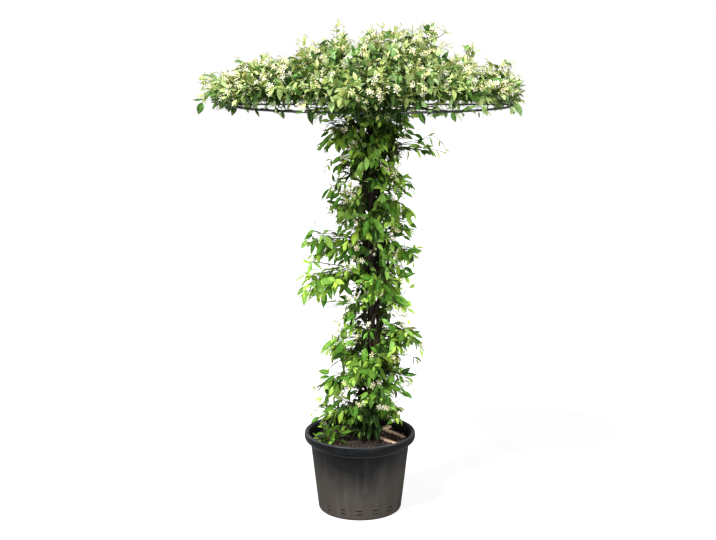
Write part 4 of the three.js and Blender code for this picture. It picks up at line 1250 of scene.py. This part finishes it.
# Single leaves of the column, in the same form as those of the head
COLUMN_LEAVES = [
    (-229, -15, 1235, -259, 1196, 85, 35, 50), (-210, -15, 1248, -191, 1222, 50, 20, 45),
    (-211, -15, 1134, -231, 1077, 95, 55, 42), (-211, -15, 1136, -164, 1100, 85, 35, 36),
    (-156, -17, 1046, -211, 982, 85, 40, 40), (-156, -16, 1013, -162, 928, 35, 5, 46),
    (-146, -21, 1047, -124, 965, 70, 20, 38), (-150, -19, 1050, -184, 1096, 75, 30, 45),
    (-143, -22, 1047, -95, 1018, 60, 20, 40), (-244, -15, 1026, -279, 985, 80, 30, 42),
    (-237, -15, 1019, -247, 936, 85, 35, 40), (-19, -78, 916, -60, 884, 60, 15, 46),
    (-24, -76, 858, -75, 849, 80, 30, 40), (-40, -69, 991, -77, 950, 25, 0, 46),
    (-133, -27, 1081, -85, 1068, 20, 0, 60), (-75, -53, 1040, -30, 991, 30, 5, 45),
    (111, -82, 964, 142, 1030, 80, 30, 45), (114, -81, 961, 78, 1004, 60, 20, 40),
    (151, -64, 1002, 221, 944, 90, 40, 42), (143, -68, 997, 200, 949, 60, 10, 40),
    (137, -71, 952, 104, 982, 50, 10, 45), (169, -56, 1067, 248, 1095, 70, 10, 40),
    (165, -58, 1080, 206, 1116, 60, 10, 40), (172, -55, 1021, 146, 1083, 30, 0, 45),
    (200, -42, 1185, 273, 1194, 75, 20, 38), (181, -51, 1189, 209, 1147, 60, 10, 42),
    (135, -71, 1238, 179, 1209, 65, 15, 42), (142, -68, 1257, 198, 1269, 30, 5, 40),
    (176, -53, 1373, 240, 1343, 65, 10, 38), (186, -48, 1312, 218, 1273, 50, 5, 40),
    (167, -57, 1319, 160, 1280, 80, 25, 45), (115, -80, 1348, 103, 1300, 80, 30, 40),
    (206, -40, 1278, 225, 1242, 90, 50, 40), (185, -49, 1484, 241, 1460, 60, 10, 38),
    (179, -52, 1504, 216, 1531, 85, 45, 40), (141, -69, 1442, 102, 1413, 60, 10, 45),
    (179, -52, 1466, 166, 1411, 70, 15, 40), (42, -150, 1352, -5, 1361, 90, 40, 42),
    (39, -150, 1352, 14, 1270, 85, 35, 38), (52, -150, 1352, 103, 1270, 95, 50, 42),
    (58, -140, 1319, 72, 1237, 25, 0, 48), (45, -160, 1360, 51, 1325, 80, 40, 45),
    (61, -140, 1511, 20, 1513, 85, 30, 45), (61, -140, 1511, 51, 1466, 70, 20, 45),
    (70, -140, 1507, 91, 1478, 75, 25, 42), (57, -140, 1594, 44, 1559, 95, 60, 55),
    (60, -140, 1594, 79, 1568, 85, 45, 50), (-111, -37, 1709, -186, 1619, 80, 20, 24),
    (-112, -37, 1678, -154, 1610, 45, 5, 20), (-89, -47, 1698, -95, 1656, 60, 10, 40),
    (-80, -51, 1661, -89, 1616, 40, 5, 38), (-80, -51, 1605, -125, 1567, 70, 25, 42),
    (-93, -45, 1566, -118, 1524, 55, 5, 38), (-112, -36, 1489, -121, 1529, 40, 0, 40),
    (-130, -28, 1463, -168, 1408, 65, 10, 30), (-112, -36, 1451, -131, 1415, 50, 5, 40),
    (-79, -51, 1434, -122, 1377, 55, 5, 30), (-81, -50, 1402, -112, 1366, 45, 5, 32),
    (-100, -42, 1349, -97, 1329, 90, 40, 50), (-194, -15, 1229, -215, 1166, 45, 0, 38),
    (-168, -15, 1213, -185, 1157, 80, 30, 45), (-152, -18, 1229, -171, 1167, 35, 0, 40),
    (-119, -33, 1173, -140, 1138, 30, 0, 36), (-99, -42, 1168, -113, 1126, 30, 0, 36),
    (-94, -45, 1253, -125, 1275, 20, 0, 50), (-49, -65, 1237, -93, 1214, 30, 5, 46),
    (-49, -65, 1211, -36, 1163, 60, 10, 50), (-62, -59, 1184, -49, 1129, 25, 0, 50),
    (-17, -79, 1329, -49, 1294, 60, 15, 46), (-74, -53, 1306, -100, 1257, 75, 25, 42),
    (71, -140, 1096, 21, 1048, 90, 45, 42), (52, -140, 1090, 2, 1090, 80, 35, 40),
    (78, -130, 1088, 71, 1033, 70, 20, 46), (-29, -120, 1723, -48, 1675, 50, 5, 48),
    (-36, -120, 1686, -51, 1662, 80, 40, 60), (51, -130, 1705, 51, 1663, 55, 10, 50),
    (245, -20, 1652, 276, 1678, 45, 0, 62), (261, -20, 1626, 284, 1606, 15, 0, 60),
    (182, -20, 1638, 224, 1619, 12, 0, 32), (283, -20, 1662, 321, 1590, 35, 0, 17),
    (297, -20, 1676, 314, 1632, 60, 10, 26), (165, -30, 1722, 197, 1737, 15, 0, 50),
    (226, -20, 1624, 254, 1641, 40, 5, 40), (233, -20, 1633, 243, 1616, 30, 5, 50),
    (169, -20, 1696, 197, 1679, 50, 10, 50), (-105, -39, 799, -178, 724, 85, 30, 26),
    (-102, -41, 788, -149, 753, 75, 25, 32), (-78, -52, 797, -114, 711, 70, 20, 38),
    (-72, -54, 737, -121, 711, 20, 0, 42), (-61, -60, 702, -75, 655, 25, 0, 44),
    (22, -150, 786, 16, 717, 90, 40, 46), (45, -140, 783, 74, 761, 80, 30, 42),
    (36, -140, 849, 13, 818, 90, 45, 42), (45, -140, 855, 62, 818, 70, 20, 42),
    (-25, -130, 811, -71, 785, 85, 40, 42), (200, -42, 813, 175, 860, 20, 0, 46),
    (227, -30, 816, 271, 828, 30, 0, 40), (194, -45, 789, 201, 750, 15, 0, 40),
    (224, -31, 786, 235, 766, 25, 0, 50), (178, -52, 637, 226, 673, 20, 0, 42),
    (183, -50, 633, 258, 636, 40, 5, 34), (177, -53, 639, 141, 668, 92, 50, 46),
    (174, -54, 596, 177, 531, 20, 0, 40), (188, -47, 560, 235, 524, 88, 40, 36),
    (177, -53, 633, 194, 595, 55, 10, 46), (-133, -27, 633, -189, 649, 88, 50, 46),
    (-106, -39, 632, -169, 583, 60, 10, 26), (-121, -32, 608, -106, 555, 20, 0, 50),
    (-106, -39, 604, -82, 566, 18, 0, 46), (-133, -27, 619, -183, 615, 85, 45, 40),
    (45, -150, 667, -14, 685, 92, 45, 42), (44, -150, 658, 42, 607, 96, 70, 44),
    (-42, -120, 651, -90, 638, 80, 30, 46), (69, -130, 657, 107, 641, 30, 0, 50),
    (-112, -36, 484, -172, 458, 88, 45, 34), (-13, -140, 528, -23, 459, 92, 45, 34),
    (-10, -140, 528, 35, 525, 85, 35, 40), (-148, -20, 531, -152, 492, 45, 5, 55),
    (-84, -100, 505, -102, 461, 20, 0, 50), (-48, -130, 514, -31, 471, 60, 15, 46),
    (75, -140, 614, 60, 571, 45, 5, 56), (92, -130, 599, 98, 544, 30, 0, 48),
    (69, -140, 566, 80, 523, 40, 5, 50), (124, -50, 490, 166, 464, 50, 5, 36),
    (69, -120, 529, 22, 517, 20, 0, 50),
]
# Small leaves at the edge of the outline: place along X and height, in mm
EDGE_LEAVES = [
    (-228, 1248), (-203, 417), (220, 1702), (212, 1685), (-79, 1270), (206, 1243), (216, 1101), (220, 1728),
    (-155, 1694), (255, 1685), (268, 1655), (-69, 1616), (290, 1616), (214, 1433), (-109, 1429),
    (232, 1301), (-219, 1266), (-92, 1154), (-83, 1136), (263, 806), (263, 783), (228, 751), (-36, 543),
    (-108, 497),
]
# Flower clusters seen on the column, in mm: place along X, height and place along Y
BLOOMS = [
    (262, 770, -30), (-200, 575, -40), (85, 560, -90), (60, 600, -90), (-45, 1720, -80), (-20, 1655, -90),
    (-35, 1480, -60), (190, 1110, -30), (160, 1370, 20), (-100, 690, 30), (110, 500, -50), (180, 1695, -30),
    (-60, 1600, -60), (-50, 1420, -50), (-70, 1340, -40), (140, 1290, -50), (130, 1180, -50),
    (-20, 1130, -70), (-40, 980, -60), (170, 900, -30), (-90, 860, -20), (140, 700, -50), (-40, 650, -90),
    (-75, 520, -50), (210, 560, 10), (150, 1540, -20),
]
# Thin bare loops that hang out of the column: place of the tip along X and height
LOOPS = [(-0.215, 0.455), (-0.235, 1.290), (0.235, 1.460), (0.100, 1.720), (-0.150, 1.560)]
# Where the pieces of short leafy twigs start and how high each is
PIECE_FOOT, PIECE_HEIGHT, PIECES = 0.36, 0.37, 4
# How many bare runners and dark leaves are behind the stake, leaves round its foot, and small flower heads
BACK_RUNNERS, BACK_LEAVES, FOOT_LEAVES, FLOWER_HEADS = 7, 150, 46, 44


def edge_leaves():
    """Rows of single leaves that point out of the outline, by turns darker and fresher."""
    for number, (x, z) in enumerate(EDGE_LEAVES):
        side = 1 if x > 1000 * STAKE_X else -1
        tone, youth = ((35, 5), (80, 30), (55, 15))[number % 3]
        yield x - side * 24, -20, z + 12, x + side * 18, z - 14, tone, youth, 44


def make_column():
    for number, (height, azimuth, reach, rise, droop) in enumerate(COLUMN_SHOOTS):
        rng = np.random.default_rng(300 + number)
        body = Body()
        azimuth = math.radians(azimuth)
        path = shoot_path(root_on_stem(height, azimuth), azimuth, reach, rise, droop)
        away = heading(azimuth)
        pairs, bloom = max(5, int(reach / 0.026)), 3 if number % 5 == 1 else 0
        grow(body, rng, path, pairs, 0.082, start=0.05, radius=0.0026, youth=0.2, droop=1.2, bloom=bloom,
             across=5, width=0.37, floor=LEAF_FLOOR)
        for side in range(8):
            base, run = point_at(path, 0.05 + 0.85 * side / 7)
            aside = unit(np.cross(run, UP)) * (1 if side % 2 else -1)
            tip = base + away * 0.05 * rng.random() + aside * rng.uniform(0.03, 0.09)
            tip = tip + UP * rng.uniform(-0.085, 0.055)
            tip[2] = max(tip[2], 0.455)
            youth, bloom = 0.12 + 0.25 * rng.random(), 3 if rng.random() < 0.10 else 0
            grow(body, rng, bow(base, tip, 6, 0.02), 3, 0.074, youth=youth, droop=0.9, bloom=bloom, across=5,
                 face=0.5 * away, width=0.38, tone=(0.0, 1.0), floor=LEAF_FLOOR)
        node = f"leafy_shoot_{number + 1}"
        settle(body.make(node + "_spray", COLUMN_LOOK), [node])
    # The thin shoot that reaches out on the right under the head, with slender leaves and a bare curled tip
    rng = np.random.default_rng(77)
    body, azimuth = Body(), math.radians(-4)
    path = shoot_path(root_on_stem(1.650, azimuth), azimuth, 0.270, 0.030, 0.045)
    grow(body, rng, path, 6, 0.076, start=0.3, radius=0.0022, youth=0.3, droop=1.0, across=5, width=0.30,
         tone=(0.7, 1.0))
    curl = bezier(point_at(path, 0.6)[0], np.array([0.30, -0.02, 1.745]), np.array([0.372, -0.02, 1.630]), 12)
    grow(body, rng, curl, 2, 0.050, start=0.35, youth=0.1, across=5, width=0.24, droop=0.8)
    settle(body.make("outreach_spray", COLUMN_LOOK), ["outreach_shoot"])
    # The bright sprig in the soil
    rng = np.random.default_rng(78)
    body = Body()
    root = np.array([-0.118, -0.058, SOIL_Z - 0.030])
    twigs = [(170, 0.052, 0.118, 0.010), (25, 0.040, 0.090, 0.005), (100, 0.03, 0.105, 0.01),
             (260, 0.035, 0.085, 0.02), (200, 0.07, 0.09, 0.03)]
    for azimuth, reach, rise, droop in twigs:
        path = shoot_path(root, math.radians(azimuth), reach, rise, droop)
        grow(body, rng, path, 3, 0.072, start=0.5, youth=0.16, droop=0.5, across=5, tone=(0.0, 0.95))
    settle(body.make("soil_sprig_spray", COLUMN_LOOK), ["soil_sprig"])
    # Four pieces of short twigs all the way up the stems
    rng = np.random.default_rng(41)
    bodies = [Body() for _ in range(PIECES)]

    def body_at(height):
        return bodies[max(0, min(PIECES - 1, int((height - PIECE_FOOT) / PIECE_HEIGHT)))]

    # Bare woody runners close round the stake, and dark leaves that hang behind it, their dark tone painted
    # shade in the column's core
    for number in range(BACK_RUNNERS):
        low, high = 0.42 + 0.2 * rng.random(), 1.60 + 0.18 * rng.random()
        rise = np.linspace(low, high, 90)
        turn = (2 * math.pi / (0.30 + 0.25 * rng.random())) * rise + 6.3 * rng.random()
        wide = 0.0255 + 0.009 * rng.random() + 0.004 * np.sin(rise * 31 + number)
        path = np.stack([STAKE_X + wide * np.cos(turn), wide * np.sin(turn), rise], axis=1)
        for first in range(0, 88, 22):
            part = path[first : first + 23]
            tube(body_at(part[11][2]), part, np.full(len(part), 0.0022 + 0.0012 * rng.random()), 5, tone=0.05)
    for _ in range(BACK_LEAVES):
        height = rng.uniform(0.42, 1.76)
        point = np.array([STAKE_X + rng.uniform(-0.040, 0.040), rng.uniform(0.020, 0.050), height])
        along = np.array([0.5 * rng.normal(), 0.3 * rng.normal(), -1.0])
        face = np.array([0.3 * rng.normal(), -1.0, 0.3 * rng.normal()])
        add_leaf(body_at(height), rng, point, along, face, 0.058, 0.0, 0.35 * rng.random(), curl=0.3)
    # Short dark twigs, their dark tone painted shade inside the column and under the head: all the way up,
    # more under the head and at the foot, and the last ones behind
    runs = ((0.40, 1.72, 104), (1.56, 1.80, 84), (0.37, 0.50, 22), (0.38, 1.75, 40))
    heights = np.concatenate([np.linspace(*run) for run in runs])
    for number, height in enumerate(heights):
        azimuth = number * 2.4 + 0.4 * rng.random()
        if number >= len(heights) - runs[-1][2]:
            azimuth = math.radians(rng.uniform(20, 160))
        elif height < 0.52:
            azimuth = math.radians(rng.uniform(95, 235))
        elif height < 1.55 and abs(math.cos(azimuth)) < 0.35 and math.sin(azimuth) < 0 and rng.random() < 0.5:
            azimuth += 1.2
        root = root_on_stem(height, azimuth)
        away = heading(azimuth)
        wide = 0.045 + 0.05 * rng.random() + 0.10 * max(0.0, (height - 1.62) / 0.2)
        tip = root + away * wide + UP * (rng.uniform(-0.04, 0.04) + 0.25 * max(0.0, height - 1.70))
        # Painted shade under the head: twigs high over the stake get the darkest leaves
        shaded_over_stake = height > 1.66 and abs(tip[0] - STAKE_X) < 0.08
        grow(body_at(height), rng, bow(root, tip, 6, 0.015), 3, 0.066, youth=0.04, droop=0.8,
             tone=(0.0, 0.08 if shaded_over_stake else 0.42), face=0.4 * away, width=0.40, floor=0.375)
    for x, height, y in metres(FILLERS):
        azimuth = math.atan2(y * 3, x - STAKE_X)
        root = root_on_stem(height + 0.02, azimuth)
        tip = np.array([x, y * 2, height])
        grow(body_at(height), rng, bow(root, tip, 8, 0.035), 4, 0.076, start=0.3, radius=0.0019,
             youth=0.15 + 0.3 * rng.random(), droop=1.0, tone=(0.15, 1.0), across=5, width=0.38, floor=0.40)
        middle = 0.4 * root + 0.6 * tip + UP * 0.01
        side = middle + np.array([0.3 * (x - STAKE_X), rng.uniform(-0.06, 0.06), -0.05 * rng.random()])
        grow(body_at(height), rng, bow(middle, side, 5, 0.01), 2, 0.060, youth=0.2, droop=0.8,
             tone=(0.1, 0.9), across=5, width=0.36, floor=0.40)
    # Dark leaves that hang round the foot of the stake
    for _ in range(FOOT_LEAVES):
        azimuth = math.radians(rng.uniform(150, 325))
        away = heading(azimuth)
        point = np.array([STAKE_X, 0, 0.375 + 0.10 * rng.random()]) + away * (0.020 + 0.025 * rng.random())
        along = away * rng.uniform(0.2, 0.9) + UP * rng.uniform(-0.9, -0.2)
        along[2] = max(along[2], (0.335 - point[2]) / 0.06)
        face = away + 0.6 * UP + 0.4 * rng.normal(size=3)
        add_leaf(bodies[0], rng, point, along, face, 0.062, 0.03, 0.45 * rng.random(), 5)
        stalk(bodies[0], bezier(point - away * 0.02, point - away * 0.01 + 0.01 * UP, point, 4), 0.001)
    picks = np.random.default_rng(616)
    for rows, forward in ((COLUMN_LEAVES, 18), (edge_leaves(), 14)):
        single_leaves(rows, forward, picks, lambda at: body_at(at[2]), (0.0, -0.8, 0.55),
                      lambda at: root_on_stem(at[2] + 0.012, math.atan2(at[1] - 0.02, at[0] - STAKE_X)))
    for x, height, y in metres(BLOOMS):
        azimuth = math.atan2(y, x - STAKE_X)
        root = root_on_stem(height + 0.01, azimuth)
        tip = np.array([x, y, height])
        grow(body_at(height), rng, bow(root, tip, 7, 0.02), 2, 0.050, start=0.4, youth=0.3,
             droop=0.6, bloom=5, width=0.36)
    # Fresh leaves in front, to the right of the stake
    for height in (1.42, 1.20, 0.89, 0.57):
        for _ in range(5):
            base = np.array([rng.uniform(0.085, 0.125), rng.uniform(-0.12, -0.09), rng.uniform(-0.04, 0.045)])
            base[2] += height
            along = np.array([rng.uniform(-0.5, 1.0), -0.2, rng.uniform(-0.9, -0.1)])
            face = np.array([0.4 * rng.normal(), -0.8, 0.6])
            youth, tone = 0.14 * rng.random(), 0.35 + 0.4 * rng.random()
            add_leaf(body_at(height), rng, base, along, face, 0.053, youth, tone, 5, width=0.36)
            stalk(body_at(height), bow(root_on_stem(height, -0.9), base, 6, 0.012))
    # Small flower heads between the leaves of the column
    for number in range(FLOWER_HEADS):
        height = 0.44 + 1.26 * (number + rng.random()) / FLOWER_HEADS
        azimuth = math.radians(rng.uniform(170, 370))
        root = root_on_stem(height, azimuth)
        tip = root + (heading(azimuth) + 0.1 * UP) * rng.uniform(0.03, 0.11)
        stalk(body_at(height), bow(root, tip, 6, 0.01), 0.0011)
        cluster(body_at(height), rng, tip, unit(tip - root), int(rng.integers(2, 4)), buds=2, radius=0.0095)
    for x, height in LOOPS:
        root = root_on_stem(height + 0.07, math.pi if x < 0 else 0.0)
        tip = np.array([x, 0.01, height - 0.02])
        path = bezier(root, np.array([0.6 * x + 0.4 * root[0], 0.0, height + 0.10]), tip, 12)
        grow(body_at(height), rng, path, 2, 0.045, start=0.75, radius=0.0013, youth=0.3, droop=0.6, width=0.3)
    for number, body in enumerate(bodies):
        settle(body.make(f"stem_leaves_{number + 1}", COLUMN_LOOK))


make_pot()
make_soil()
make_laths()
make_frame()
make_head()
make_column()


# ---------------------------------------------------------------- stage, light and camera
def make_stage():
    body = Body()
    lathe(body, [(0, 0), (1.0, 0), (4.0, 0), (24.0, 0)], 64)
    floor = body.make("studio_floor", [floor_material()])
    world = bpy.data.worlds.new("studio")
    bpy.context.scene.world = world
    world.use_nodes = True
    tree = world.node_tree
    seen, soft = tree.nodes["Background"], add_node(tree, "ShaderNodeBackground", Strength=0.26)
    feed(seen.inputs["Color"], WHITE)
    feed(soft.inputs["Color"], (0.97, 0.99, 1.0))
    blend_shaders(tree, camera_ray(tree), soft, seen, "World Output")
    lights = (("key", (-2.5, -2.9, 5.8), 12, 5.8), ("fill", (1.9, -4.8, 2.5), 36, 2.8))
    for name, place, softness, power in lights:
        lamp = bpy.data.lights.new(name, "SUN")
        lamp.angle, lamp.energy = math.radians(softness), power
        light = bpy.data.objects.new(name, lamp)
        light.location = place
        light.rotation_euler = (LIT_POINT - Vector(place)).to_track_quat("-Z", "Y").to_euler()
        bpy.context.scene.collection.objects.link(light)
    lens = bpy.data.cameras.new("photo_camera")
    lens.lens, lens.sensor_width = LENS, SENSOR
    camera = bpy.data.objects.new("photo_camera", lens)
    camera.location = EYE
    camera.rotation_euler = (math.radians(90 - LOOK_DOWN), 0, 0)
    bpy.context.scene.collection.objects.link(camera)
    bpy.context.scene.camera = camera
    bpy.context.scene.view_settings.view_transform = "Standard"


make_stage()
